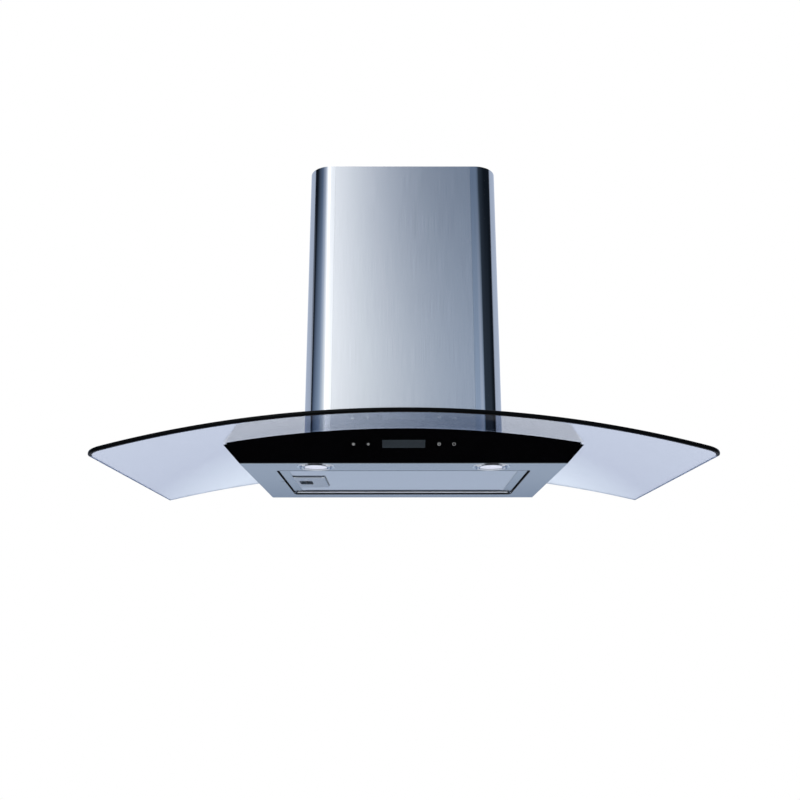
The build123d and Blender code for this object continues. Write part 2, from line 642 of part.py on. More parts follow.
for layer_name, layer_bottom, layer_top, pitch in MESH_LAYERS:
    with BuildPart() as mesh_layer:
        with BuildSketch(Plane.XY.offset(layer_bottom)):
            with Locations((0, FILTER_Y)):
                Rectangle(2 * PACK_HALF_WIDTH, PACK_DEPTH)
            with Locations((LATCH_RIGHT + SLIDE_FIT, FILTER_Y)):
                Rectangle(
                    2 * LATCH_WIDTH,
                    LATCH_LENGTH + 2 * SLIDE_FIT,
                    align=(Align.MAX, Align.CENTER),
                    mode=Mode.SUBTRACT,
                )
            if pitch:
                pitch_x, pitch_y = pitch
                strand_share = MESH_STRAND * sqrt(pitch_x**2 + pitch_y**2) / (pitch_x * pitch_y)
                reach_x = (1 - strand_share) * pitch_x / 2
                reach_y = (1 - strand_share) * pitch_y / 2
                with Locations(mesh_places(pitch_x, pitch_y)):
                    Polygon(
                        (reach_x, 0), (0, reach_y), (-reach_x, 0), (0, -reach_y), mode=Mode.SUBTRACT
                    )
        extrude(amount=layer_top - layer_bottom)
    save(mesh_layer, layer_name)

# Hinge pins, one at the front and one at the rear of the filter's right end
with BuildPart() as filter_pins:
    with BuildSketch(Plane.XZ.offset(-FILTER_FRONT - FRAME_SHEET)):
        with Locations((PIVOT_X, PIVOT_Z)):
            Circle(PIVOT_RADIUS)
    extrude(amount=FRAME_SHEET + FILTER_GAP + SHEET + PIVOT_REACH)
    with BuildSketch(Plane.XZ.offset(-FILTER_FRONT - FRAME_SHEET)):
        with Locations((PIVOT_X, PIVOT_Z)):
            Circle(PIVOT_HEAD_RADIUS)
    extrude(amount=-PIVOT_SHANK)
    mirror(about=Plane.XZ.offset(-FILTER_Y))
save(filter_pins, "filter_pins")

# Catch: a raised housing with a finger pocket, a sliding bolt and its leaf spring
with BuildPart() as latch_housing:
    with BuildSketch(Plane.XY.offset(LATCH_BOTTOM)):
        with Locations((LATCH_LEFT + LATCH_WIDTH / 2, FILTER_Y)):
            RectangleRounded(LATCH_WIDTH, LATCH_LENGTH, LATCH_CORNER)
    extrude(amount=PACK_TOP - LOOSE_FIT - LATCH_BOTTOM)
    chamfer(latch_housing.faces().sort_by(Axis.Z)[0].edges(), LATCH_PROUD / 2)
    with BuildSketch(Plane.XY.offset(BOLT_BOTTOM - SLIDE_FIT)):
        with Locations((CHANNEL_RIGHT, FILTER_Y)):
            Rectangle(2 * LATCH_WIDTH, BOLT_WIDTH + 2 * SLIDE_FIT, align=(Align.MAX, Align.CENTER))
    extrude(amount=BOLT_THICKNESS + 2 * SLIDE_FIT, mode=Mode.SUBTRACT)
    with BuildSketch(Plane.XY.offset(LATCH_BOTTOM)):
        with Locations((POCKET_X, FILTER_Y)):
            RectangleRounded(POCKET_WIDTH, POCKET_LENGTH, LATCH_CORNER / 2)
    extrude(amount=BOLT_BOTTOM - LATCH_BOTTOM, mode=Mode.SUBTRACT)
save(latch_housing, "latch_housing")

with BuildPart() as filter_latch:
    with BuildSketch(Plane.XY.offset(BOLT_BOTTOM)):
        with Locations((BOLT_RIGHT, FILTER_Y)):
            Rectangle(BOLT_RIGHT - BOLT_LEFT, BOLT_WIDTH, align=(Align.MAX, Align.CENTER))
    extrude(amount=BOLT_THICKNESS)
    with BuildSketch(Plane.XY.offset(BOLT_BOTTOM)):
        with Locations((POCKET_X, FILTER_Y)):
            Rectangle(FINGER_LIP, BOLT_WIDTH - FINGER_LIP)
    extrude(amount=-FINGER_LIP_DROP)
save(filter_latch, "filter_latch")

SPRING_LEFT = BOLT_RIGHT + LOOSE_FIT
SPRING_RIGHT = CHANNEL_RIGHT - LOOSE_FIT
SPRING_HALF = BOLT_WIDTH / 2 - 2 * SLIDE_FIT

with BuildPart() as latch_spring:
    with BuildSketch(Plane.XY.offset(BOLT_BOTTOM)):
        with BuildLine():
            ThreePointArc(
                (SPRING_LEFT, FILTER_Y - SPRING_HALF),
                (SPRING_RIGHT, FILTER_Y),
                (SPRING_LEFT, FILTER_Y + SPRING_HALF),
            )
            Line((SPRING_LEFT, FILTER_Y + SPRING_HALF), (SPRING_LEFT, FILTER_Y + SPRING_HALF - SPRING_STRIP))
            ThreePointArc(
                (SPRING_LEFT, FILTER_Y + SPRING_HALF - SPRING_STRIP),
                (SPRING_RIGHT - SPRING_STRIP, FILTER_Y),
                (SPRING_LEFT, FILTER_Y - SPRING_HALF + SPRING_STRIP),
            )
            Line((SPRING_LEFT, FILTER_Y - SPRING_HALF + SPRING_STRIP), (SPRING_LEFT, FILTER_Y - SPRING_HALF))
        make_face()
    extrude(amount=BOLT_THICKNESS)
save(latch_spring, "latch_spring")

# Spring-steel strike on the casing's floor, with its lip under the bolt
STRIKE_RISER = -OPENING_WIDTH / 2 - BOLT_THROW - SLIDE_FIT
STRIKE_LIP_TOP = BOLT_BOTTOM - LOOSE_FIT

with BuildPart() as filter_strike:
    with BuildSketch(Plane.XZ.offset(-FILTER_Y)):
        with BuildLine():
            Polyline(
                (STRIKE_RISER - STRIKE_FOOT, SHEET),
                (STRIKE_RISER, SHEET),
                (STRIKE_RISER, STRIKE_LIP_TOP - STRIKE_SHEET),
                (BOLT_LEFT + STRIKE_LAP, STRIKE_LIP_TOP - STRIKE_SHEET),
                (BOLT_LEFT + STRIKE_LAP, STRIKE_LIP_TOP),
                (STRIKE_RISER - STRIKE_SHEET, STRIKE_LIP_TOP),
                (STRIKE_RISER - STRIKE_SHEET, SHEET + STRIKE_SHEET),
                (STRIKE_RISER - STRIKE_FOOT, SHEET + STRIKE_SHEET),
                close=True,
            )
        make_face()
    extrude(amount=BOLT_WIDTH / 2, both=True)
save(filter_strike, "filter_strike")

# Motor box: four walls and a foot flange on the top plate, with the wall fixings in its back
with BuildPart() as box_foot:
    with BuildSketch(Plane((0, -SHEET, 0))):
        Rectangle(BOX_WIDTH - 2 * SHEET, BOX_DEPTH - 2 * SHEET, align=(Align.CENTER, Align.MAX))
    extrude(amount=FORM_TOP)
    with BuildSketch(Plane((0, -SHEET - BOX_FLANGE, 0))):
        Rectangle(AIR_WIDTH, AIR_DEPTH, align=(Align.CENTER, Align.MAX))
    extrude(amount=FORM_TOP, mode=Mode.SUBTRACT)
    arch_layer(PLATE_RADIUS, PLATE_RADIUS + SHEET)

with BuildPart() as motor_box:
    with BuildSketch():
        Rectangle(BOX_WIDTH, BOX_DEPTH, align=(Align.CENTER, Align.MAX))
    extrude(amount=BOX_TOP - SHEET)
    with BuildSketch(Plane((0, -SHEET, 0))):
        Rectangle(BOX_WIDTH - 2 * SHEET, BOX_DEPTH - 2 * SHEET, align=(Align.CENTER, Align.MAX))
    extrude(amount=BOX_TOP - SHEET, mode=Mode.SUBTRACT)
    arch_body(PLATE_RADIUS, Mode.SUBTRACT)
    add(box_foot.part)
    with BuildSketch(Plane.XZ):
        for side in (-1, 1):
            with Locations((side * KEYHOLE_SPACING / 2, KEYHOLE_Z)):
                Circle(KEYHOLE_HEAD_RADIUS)
            with Locations((side * KEYHOLE_SPACING / 2, KEYHOLE_Z + KEYHOLE_RISE / 2)):
                SlotCenterToCenter(KEYHOLE_RISE, 2 * KEYHOLE_SLOT_RADIUS, rotation=90)
            with Locations((side * FIXING_SPACING / 2, FIXING_HEIGHT)):
                Circle(FIXING_RADIUS)
    extrude(amount=SHEET, mode=Mode.SUBTRACT)
save(motor_box, "motor_box")

# Top sheet of the motor box, with the outlet hole under the collar
with BuildPart() as box_top:
    with BuildSketch(Plane.XY.offset(BOX_TOP)):
        Rectangle(BOX_WIDTH, BOX_DEPTH, align=(Align.CENTER, Align.MAX))
        with Locations((0, COLLAR_Y)):
            Circle(COLLAR_BORE, mode=Mode.SUBTRACT)
    extrude(amount=-SHEET)
save(box_top, "box_top")

# Clamps on the box's sides and front, whose leaves lie on the glass
CLAMP_TOP = arch_height(0, GLASS_TOP_RADIUS) + CLAMP_RISE
CLAMP_FEET = (
    (BOX_WIDTH / 2 + CLAMP_REACH / 2, CLAMP_Y, CLAMP_REACH, CLAMP_SIDE_LENGTH),
    (-BOX_WIDTH / 2 - CLAMP_REACH / 2, CLAMP_Y, CLAMP_REACH, CLAMP_SIDE_LENGTH),
    (0, -BOX_DEPTH - CLAMP_REACH / 2, CLAMP_FRONT_LENGTH, CLAMP_REACH),
)
CLAMP_WALLS = (
    (BOX_WIDTH / 2 + CLAMP_SHEET / 2, CLAMP_Y, CLAMP_SHEET, CLAMP_SIDE_LENGTH),
    (-BOX_WIDTH / 2 - CLAMP_SHEET / 2, CLAMP_Y, CLAMP_SHEET, CLAMP_SIDE_LENGTH),
    (0, -BOX_DEPTH - CLAMP_SHEET / 2, CLAMP_FRONT_LENGTH, CLAMP_SHEET),
)

with BuildPart() as glass_clamps:
    with BuildSketch():
        for foot_x, foot_y, foot_width, foot_depth in CLAMP_FEET:
            with Locations((foot_x, foot_y)):
                Rectangle(foot_width, foot_depth)
    extrude(amount=CLAMP_TOP)
    arch_layer(GLASS_TOP_RADIUS, GLASS_TOP_RADIUS + CLAMP_SHEET)
    with BuildSketch():
        for wall_x, wall_y, wall_width, wall_depth in CLAMP_WALLS:
            with Locations((wall_x, wall_y)):
                Rectangle(wall_width, wall_depth)
    extrude(amount=CLAMP_TOP)
    arch_body(GLASS_TOP_RADIUS, Mode.SUBTRACT)
save(glass_clamps, "glass_clamps")

# Blower scroll: quarter arcs that widen by one step each, a straight throat and two inlets
with BuildPart() as scroll:
    with BuildSketch(fan_plane):
        with BuildLine():
            CenterArc((0, 0), SCROLL_RADIUS, degrees(TONGUE_ANGLE), -degrees(TONGUE_ANGLE))
            CenterArc((-SCROLL_GROWTH, 0), SCROLL_RADIUS + SCROLL_GROWTH, 0, -90)
            CenterArc((-SCROLL_GROWTH, SCROLL_GROWTH), SCROLL_RADIUS + 2 * SCROLL_GROWTH, -90, -90)
            Polyline(
                (SCROLL_FRONT, SCROLL_GROWTH),
                (SCROLL_FRONT, SCROLL_TOP),
                (TONGUE_Y, SCROLL_TOP),
                (TONGUE_Y, TONGUE_Z),
            )
        make_face()
    extrude(amount=SCROLL_SIDE, both=True)
    offset(amount=-SCROLL_WALL, openings=scroll.faces().sort_by(Axis.Z)[-1])
    with BuildSketch(fan_plane.offset(-SCROLL_SIDE)):
        Circle(INLET_RADIUS)
    extrude(amount=SCROLL_WIDTH, mode=Mode.SUBTRACT)

with BuildPart() as scroll_left:
    add(scroll.part)
    split(bisect_by=Plane.YZ, keep=Keep.BOTTOM)
save(scroll_left, "scroll_left")

with BuildPart() as scroll_right:
    add(scroll.part)
    split(bisect_by=Plane.YZ, keep=Keep.TOP)
save(scroll_right, "scroll_right")

# Impeller: forward-bent blades on both sides of a disc, with a rim at each end
BLADE_INNER = IMPELLER_RADIUS - BLADE_DEPTH
BLADE_OUTER = IMPELLER_RADIUS - BLADE_THICKNESS / 2
BLADE_MIDDLE = (BLADE_INNER + BLADE_OUTER) / 2
BLADE_BEND = BLADE_SWEEP / 2 - BLADE_BULGE
BLADE_TURN = BLADE_THICKNESS / IMPELLER_RADIUS
HUB_START = MOTOR_START - HUB_RADIUS / 2 - HUB_LENGTH


def blade_point(radius, turn):
    """Point on the impeller's section at this radius and angle."""
    return (radius * cos(turn), radius * sin(turn))


with BuildSketch(fan_plane.offset(-IMPELLER_LENGTH / 2)) as blades:
    with BuildSketch(mode=Mode.PRIVATE) as blade:
        with BuildLine():
            Polyline(
                blade_point(BLADE_INNER, 0),
                blade_point(BLADE_MIDDLE, BLADE_BEND),
                blade_point(BLADE_OUTER, BLADE_SWEEP),
                blade_point(BLADE_OUTER, BLADE_SWEEP + BLADE_TURN),
                blade_point(BLADE_MIDDLE, BLADE_BEND + BLADE_TURN),
                blade_point(BLADE_INNER, BLADE_TURN),
                close=True,
            )
        make_face()
    with PolarLocations(0, BLADE_COUNT):
        add(blade.sketch)

with BuildPart() as impeller:
    extrude(blades.sketch, amount=IMPELLER_LENGTH)
    with BuildSketch(fan_plane):
        Circle(IMPELLER_RADIUS)
    extrude(amount=-DISC_THICKNESS)
    for rim_start in (-IMPELLER_LENGTH / 2, IMPELLER_LENGTH / 2 - RIM_WIDTH):
        with BuildSketch(fan_plane.offset(rim_start)):
            Circle(IMPELLER_RADIUS)
            Circle(BLADE_INNER, mode=Mode.SUBTRACT)
        extrude(amount=RIM_WIDTH)
    with BuildSketch(fan_plane.offset(HUB_START)):
        Circle(HUB_RADIUS)
    extrude(amount=HUB_LENGTH)
    with BuildSketch(fan_plane.offset(HUB_START)):
        Circle(SHAFT_RADIUS + PIN_FIT / 2)
    extrude(amount=HUB_LENGTH, mode=Mode.SUBTRACT)
save(impeller, "impeller")

with BuildPart() as motor_shaft:
    with BuildSketch(fan_plane.offset(HUB_START - SHAFT_RADIUS / 2)):
        Circle(SHAFT_RADIUS)
    extrude(amount=MOTOR_START + MOTOR_BORE_DEPTH - SHEET - HUB_START + SHAFT_RADIUS / 2)
save(motor_shaft, "motor_shaft")

# Motor inside the impeller's right half, on a three-armed bracket across the inlet
with BuildPart() as motor:
    with BuildSketch(fan_plane.offset(MOTOR_START)):
        Circle(MOTOR_RADIUS)
    extrude(amount=SCROLL_SIDE - MOTOR_START)
    with BuildSketch(fan_plane.offset(MOTOR_START)):
        Circle(SHAFT_RADIUS + PIN_FIT)
    extrude(amount=MOTOR_BORE_DEPTH, mode=Mode.SUBTRACT)
save(motor, "motor")

with BuildPart() as motor_bracket:
    with BuildSketch(fan_plane.offset(SCROLL_SIDE)):
        Circle(BRACKET_HUB_RADIUS)
        with PolarLocations(0, BRACKET_ARMS, start_angle=BRACKET_ARM_START):
            Rectangle(BRACKET_REACH, BRACKET_ARM_WIDTH, align=(Align.MIN, Align.CENTER))
    extrude(amount=BRACKET_PLATE)
save(motor_bracket, "motor_bracket")

# Outlet collar: a flange ring on the box's top, the spigot on it, and the flap seat inside
with BuildPart() as collar_ring:
    with BuildSketch(collar_plane):
        Circle(COLLAR_FLANGE_RADIUS)
        Circle(COLLAR_BORE, mode=Mode.SUBTRACT)
    extrude(amount=COLLAR_FLANGE_THICKNESS)
save(collar_ring, "collar_ring")

with BuildPart() as damper_collar:
    with BuildSketch(collar_plane.offset(COLLAR_FLANGE_THICKNESS)):
        Circle(COLLAR_RADIUS)
        Circle(COLLAR_BORE, mode=Mode.SUBTRACT)
    extrude(amount=COLLAR_HEIGHT - COLLAR_FLANGE_THICKNESS)
save(damper_collar, "damper_collar")

# Flap seat: a ring and a crossbar with three ears for the flaps' pins
with BuildPart() as flap_seat:
    with BuildSketch(collar_plane.offset(SEAT_HEIGHT)):
        Circle(COLLAR_BORE - PIN_FIT)
        Circle(COLLAR_BORE - SEAT_WIDTH, mode=Mode.SUBTRACT)
        Rectangle(2 * COLLAR_BORE - SEAT_WIDTH, CROSSBAR_WIDTH)
    extrude(amount=-SEAT_THICKNESS)
    with BuildSketch(collar_plane.offset(SEAT_HEIGHT)):
        with Locations((-EAR_END_X, 0), (0, 0), (EAR_END_X, 0)):
            Rectangle(EAR_THICKNESS, EAR_DEPTH)
    extrude(amount=EAR_RISE)
    with BuildSketch(Plane.YZ.offset(-EAR_END_X - EAR_THICKNESS)):
        with Locations(*FLAP_PIN_POINTS):
            Circle(FLAP_PIN_RADIUS + PIN_FIT)
    extrude(amount=2 * (EAR_END_X + EAR_THICKNESS), mode=Mode.SUBTRACT)
save(flap_seat, "flap_seat")

with BuildPart() as damper_pins:
    with BuildSketch(Plane.YZ.offset(-EAR_END_X - EAR_THICKNESS / 2)):
        with Locations(*FLAP_PIN_POINTS):
            Circle(FLAP_PIN_RADIUS)
    extrude(amount=2 * EAR_END_X + EAR_THICKNESS)
save(damper_pins, "damper_pins")

# Flaps: half discs that rest on the seat, rolled round their pins between the ears
BARREL_START = EAR_THICKNESS / 2 + EAR_SIDE_GAP
BARREL_END = EAR_END_X - BARREL_START

with BuildPart() as damper_flap_front:
    with BuildSketch(collar_plane.offset(SEAT_HEIGHT + LOOSE_FIT)):
        Circle(FLAP_RADIUS)
        with Locations((0, -FLAP_PIN_OFFSET)):
            Rectangle(2 * FLAP_RADIUS, 2 * FLAP_RADIUS, align=(Align.CENTER, Align.MIN), mode=Mode.SUBTRACT)
        Rectangle(2 * BARREL_START, EAR_DEPTH + 2 * EAR_SIDE_GAP, mode=Mode.SUBTRACT)
        for side in (-1, 1):
            with Locations((side * (BARREL_END + FLAP_RADIUS / 2), 0)):
                Rectangle(FLAP_RADIUS, EAR_DEPTH + 2 * EAR_SIDE_GAP, mode=Mode.SUBTRACT)
    extrude(amount=FLAP_THICKNESS)
    for barrel_start in (-BARREL_END, BARREL_START):
        with BuildSketch(Plane.YZ.offset(barrel_start)):
            with Locations(FLAP_PIN_POINTS[0]):
                Circle(BARREL_RADIUS)
        extrude(amount=BARREL_END - BARREL_START)
    with BuildSketch(Plane.YZ.offset(-BARREL_END)):
        with Locations(FLAP_PIN_POINTS[0]):
            Circle(FLAP_PIN_RADIUS + PIN_FIT)
    extrude(amount=2 * BARREL_END, mode=Mode.SUBTRACT)
save(damper_flap_front, "damper_flap_front")

with BuildPart() as damper_flap_rear:
    mirror(damper_flap_front.part, about=Plane.XZ.offset(-COLLAR_Y))
save(damper_flap_rear, "damper_flap_rear")

# Electrics on top of the box: terminal box with its lid and cable gland, and the capacitor
with BuildPart() as terminal_box:
    with BuildSketch(terminal_plane):
        Rectangle(TERMINAL_WIDTH, TERMINAL_DEPTH)
    extrude(amount=TERMINAL_HEIGHT)
    offset(amount=-TERMINAL_WALL, openings=terminal_box.faces().sort_by(Axis.Z)[-1])
save(terminal_box, "terminal_box")

with BuildPart() as terminal_lid:
    with BuildSketch(terminal_plane.offset(TERMINAL_HEIGHT)):
        Rectangle(TERMINAL_WIDTH, TERMINAL_DEPTH)
        Circle(GLAND_THREAD_RADIUS + PIN_FIT, mode=Mode.SUBTRACT)
    extrude(amount=TERMINAL_WALL)
save(terminal_lid, "terminal_lid")

with BuildPart() as cable_gland:
    with BuildSketch(terminal_plane.offset(TERMINAL_HEIGHT + TERMINAL_WALL)):
        RegularPolygon(GLAND_RADIUS, 6)
    extrude(amount=GLAND_HEIGHT / 2)
    with BuildSketch(terminal_plane.offset(TERMINAL_HEIGHT + TERMINAL_WALL)):
        Circle(GLAND_THREAD_RADIUS)
    extrude(amount=GLAND_HEIGHT)
    with BuildSketch(terminal_plane.offset(TERMINAL_HEIGHT + TERMINAL_WALL)):
        Circle(GLAND_THREAD_RADIUS)
    extrude(amount=-GLAND_THREAD_LENGTH)
    with BuildSketch(terminal_plane.offset(TERMINAL_HEIGHT + TERMINAL_WALL - GLAND_THREAD_LENGTH)):
        Circle(GLAND_BORE_RADIUS)
    extrude(amount=GLAND_HEIGHT + GLAND_THREAD_LENGTH, mode=Mode.SUBTRACT)
save(cable_gland, "cable_gland")

with BuildPart() as capacitor:
    with BuildSketch(Plane((BOX_WIDTH / 2 - CAPACITOR_INSET, -CAPACITOR_INSET, BOX_TOP))):
        Circle(CAPACITOR_RADIUS)
    extrude(amount=CAPACITOR_HEIGHT)
save(capacitor, "capacitor")


def cover_plan(gap, bottom=0):
    """Filled plan of a chimney cover, drawn in by this gap from the outer cover's outside."""
    with BuildSketch(Plane((0, -gap, bottom))) as plan:
        Rectangle(CHIMNEY_WIDTH - 2 * gap, CHIMNEY_DEPTH - 2 * gap, align=(Align.CENTER, Align.MAX))
        fillet(plan.vertices().group_by(Axis.Y)[0], CHIMNEY_CORNER_RADIUS - gap)
    return plan.sketch


def cover_back(gap, depth, bottom=0):
    """Strip of the back that is open between the rear flanges."""
    with BuildSketch(Plane((0, -gap, bottom))) as strip:
        Rectangle(CHIMNEY_WIDTH - 2 * CHIMNEY_FLANGE, depth, align=(Align.CENTER, Align.MAX))
    return strip.sketch


# Outer chimney cover, cut along the glass, and the gasket that it stands on
with BuildPart() as outer_chimney:
    extrude(cover_plan(0), amount=CHIMNEY_TOP)
    extrude(cover_plan(SHEET), amount=CHIMNEY_TOP, mode=Mode.SUBTRACT)
    extrude(cover_back(0, SHEET), amount=CHIMNEY_TOP, mode=Mode.SUBTRACT)
    arch_body(CHIMNEY_FOOT_RADIUS, Mode.SUBTRACT)
save(outer_chimney, "outer_chimney")

with BuildPart() as chimney_gasket:
    extrude(cover_plan(0), amount=CHIMNEY_TOP)
    extrude(cover_plan(CHIMNEY_GASKET_WIDTH), amount=CHIMNEY_TOP, mode=Mode.SUBTRACT)
    extrude(cover_back(0, CHIMNEY_GASKET_WIDTH), amount=CHIMNEY_TOP, mode=Mode.SUBTRACT)
    arch_layer(GLASS_TOP_RADIUS, CHIMNEY_FOOT_RADIUS)
save(chimney_gasket, "chimney_gasket")

# Inner chimney cover, which slides up out of the outer one, with vents near its top
INNER_GAP = SHEET + SLIDE_FIT

with BuildPart() as inner_chimney:
    outside = cover_plan(INNER_GAP, INNER_CHIMNEY_BOTTOM)
    inside = cover_plan(INNER_GAP + SHEET, INNER_CHIMNEY_BOTTOM)
    back = cover_back(INNER_GAP, SHEET, INNER_CHIMNEY_BOTTOM)
    extrude(outside, amount=INNER_CHIMNEY_LENGTH)
    extrude(inside, amount=INNER_CHIMNEY_LENGTH, mode=Mode.SUBTRACT)
    extrude(back, amount=INNER_CHIMNEY_LENGTH, mode=Mode.SUBTRACT)
    with BuildSketch(Plane.YZ):
        for vent in range(VENT_COUNT):
            vent_height = CHIMNEY_TOP - INNER_CHIMNEY_DROP - VENT_BELOW_TOP - vent * VENT_PITCH
            with Locations((-CHIMNEY_DEPTH / 2, vent_height)):
                Rectangle(VENT_LENGTH, VENT_HEIGHT)
    extrude(amount=CHIMNEY_SIDE, both=True, mode=Mode.SUBTRACT)
save(inner_chimney, "inner_chimney")

# Brackets between the box and the chimney's sides
BRACKET_SPAN = CHIMNEY_SIDE - SHEET - BOX_WIDTH / 2

with BuildPart() as chimney_brackets:
    with BuildSketch(Plane((BOX_WIDTH / 2, -CHIMNEY_BRACKET_FROM_WALL, BRACKET_BOTTOM))):
        Rectangle(BRACKET_SPAN, CHIMNEY_BRACKET_SHEET, align=(Align.MIN, Align.MAX))
        Rectangle(CHIMNEY_BRACKET_SHEET, CHIMNEY_BRACKET_LEG, align=(Align.MIN, Align.MAX))
        with Locations((BRACKET_SPAN, 0)):
            Rectangle(CHIMNEY_BRACKET_SHEET, CHIMNEY_BRACKET_LEG, align=(Align.MAX, Align.MAX))
    extrude(amount=CHIMNEY_BRACKET_HEIGHT)
    mirror(about=Plane.YZ)
save(chimney_brackets, "chimney_brackets")
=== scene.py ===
from math import atan2, cos, pi, radians, sin, sqrt

import bmesh
import bpy
from bpy.props import FloatProperty, FloatVectorProperty, PointerProperty
from mathutils import Matrix, Vector


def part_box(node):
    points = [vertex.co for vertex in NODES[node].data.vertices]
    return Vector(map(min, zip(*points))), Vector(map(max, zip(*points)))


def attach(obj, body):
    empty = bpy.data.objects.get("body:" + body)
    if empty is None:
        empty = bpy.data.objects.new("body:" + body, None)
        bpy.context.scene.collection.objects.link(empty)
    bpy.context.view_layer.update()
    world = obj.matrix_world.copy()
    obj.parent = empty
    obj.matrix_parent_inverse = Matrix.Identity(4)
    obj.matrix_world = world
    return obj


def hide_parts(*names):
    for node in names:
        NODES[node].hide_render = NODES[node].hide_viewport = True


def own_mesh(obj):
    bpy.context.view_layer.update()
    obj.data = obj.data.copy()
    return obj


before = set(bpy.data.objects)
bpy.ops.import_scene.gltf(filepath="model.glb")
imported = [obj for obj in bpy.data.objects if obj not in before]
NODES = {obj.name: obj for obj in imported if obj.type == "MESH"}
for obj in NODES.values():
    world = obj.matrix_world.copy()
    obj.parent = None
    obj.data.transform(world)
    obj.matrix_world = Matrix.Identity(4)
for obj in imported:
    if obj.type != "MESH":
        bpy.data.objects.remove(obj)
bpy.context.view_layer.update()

bl_info = {
    "name": "Chimney hood dressing",
    "version": (1, 0, 0),
    "blender": (4, 5, 0),
    "location": "View3D > Sidebar > Hood",
    "description": "Dresses the solids of a glass canopy chimney hood with finished pieces and materials",
    "category": "Object",
}

MM = 0.001

# Places that the solids give
GLASS_LOW, GLASS_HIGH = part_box("glass_canopy")
BOX_LOW, BOX_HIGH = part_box("motor_box")
HOUSING_LOW, HOUSING_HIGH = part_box("latch_housing")
FRAME_LOW, FRAME_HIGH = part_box("filter_frame")

# The fascia leans out from its foot, and the keys stand in a row up it, a little proud
FRONT_LEAN = radians(38.7)
FASCIA_FOOT = Vector((0, -360 * MM, 0))
FASCIA_OUT = Vector((0, -cos(FRONT_LEAN), -sin(FRONT_LEAN)))
FASCIA_UP = Vector((0, -sin(FRONT_LEAN), cos(FRONT_LEAN)))
KEY_ROW = 32.9 * MM
KEY_PROUD = 0.8 * MM
KEY_FACE = FASCIA_FOOT + FASCIA_UP * KEY_ROW + FASCIA_OUT * KEY_PROUD

# Signs on the key caps, in millimetres: dots and rings as place, inner radius and outer radius
PRINT_COAT = 0.05 * MM
KEY_SIGNS = (
    ("key_light", "light_key", ((0, 0, 0, 2.3),)),
    ("key_power", "power_key", ((1.3, 0, 0, 1.0), (0, 1.3, 0, 1.0), (-1.3, 0, 0, 1.0), (0, -1.3, 0, 1.0))),
    ("key_slower", "slower_key", ((0, 0, 1.3, 2.6),)),
    ("key_faster", "faster_key", ((0, 0, 1.8, 2.6),)),
)

# Lamp ring, lamp lens and capacitor lid as radius and height in millimetres
RING_PROFILE = (
    (17.6, -0.2), (17.7, -0.7), (18.4, -1.1), (19.6, -1.3), (21.4, -1.35), (22.6, -1.2), (23.2, -0.95),
    (23.8, -1.2), (24.4, -1.4), (25.3, -1.45), (25.9, -0.5), (29.6, -0.4), (30.0, 0.0), (25.5, 0.0),
    (25.5, 9.0), (19.8, 9.0), (19.8, -0.2), (17.6, -0.2),
)
LENS_PROFILE = (
    (0, -1.2), (5.0, -1.15), (10.0, -0.95), (14.0, -0.7), (17.2, -0.35), (17.5, -0.1), (19.5, -0.1),
    (19.5, 2.2), (0, 2.2),
)
LID_PROFILE = ((14.0, 0.0), (14.0, 1.2), (13.2, 1.6), (0, 1.6))

# Shades of the studio round the hood: a strip light, soft walls, a blue-grey cloth low down and black flags
STRIP = ("#FFFFFF", 2.1)
WHITE = ("#EEF6FF", 1.1)
PALE = ("#C4D0E6", 1.0)
SOFT = ("#A2B7D2", 1.0)
MIST = ("#D4E4F4", 1.0)
HAZE = ("#788AA4", 1.0)
DUSK = ("#647692", 1.0)
DIM = ("#343E4B", 1.0)
FLAG = ("#161D26", 1.0)
CLOTH = ("#5A6C96", 1.0)

# Heights in metres, each with its shades by azimuth from the front, plus to the right
PANELS = (
    (-0.84, ((-90, CLOTH), (-45, DIM), (45, DIM), (90, CLOTH), (269, CLOTH))),
    (-0.66, ((-90, MIST), (-45, DIM), (45, DIM), (90, MIST), (269, MIST))),
    (-0.44, ((-90, DUSK), (-45, DIM), (45, DIM), (90, DUSK), (269, DUSK))),
    (0.8, (
        (-88, PALE), (-84, FLAG), (-80, FLAG), (-70, DUSK), (-40, SOFT), (-20, WHITE), (-14, STRIP),
        (-7, STRIP), (-6, WHITE), (-1, WHITE), (5, SOFT), (18, PALE), (26, SOFT), (29, DIM), (60, DIM),
        (74, FLAG), (84, FLAG), (89, PALE), (269, PALE),
    )),
    (2.1, (
        (-90, FLAG), (-76, FLAG), (-46, DUSK), (-30, PALE), (-14, STRIP), (-7.5, STRIP), (-6.5, WHITE),
        (-4, PALE), (-1.5, SOFT), (0.5, DUSK), (4, DUSK), (5, HAZE), (16, HAZE), (24, DIM), (52, FLAG),
        (87, FLAG), (93, PALE), (262, PALE), (267, FLAG),
    )),
)


def linear(code):
    """An sRGB hex colour as linear red, green, blue and alpha."""
    channels = [int(code[i : i + 2], 16) / 255 for i in (1, 3, 5)]
    return [c / 12.92 if c <= 0.04045 else ((c + 0.055) / 1.055) ** 2.4 for c in channels] + [1.0]


def tinted(colour, gain):
    """A colour made lighter or darker by a gain."""
    return [channel * gain for channel in colour[:3]] + [1.0]


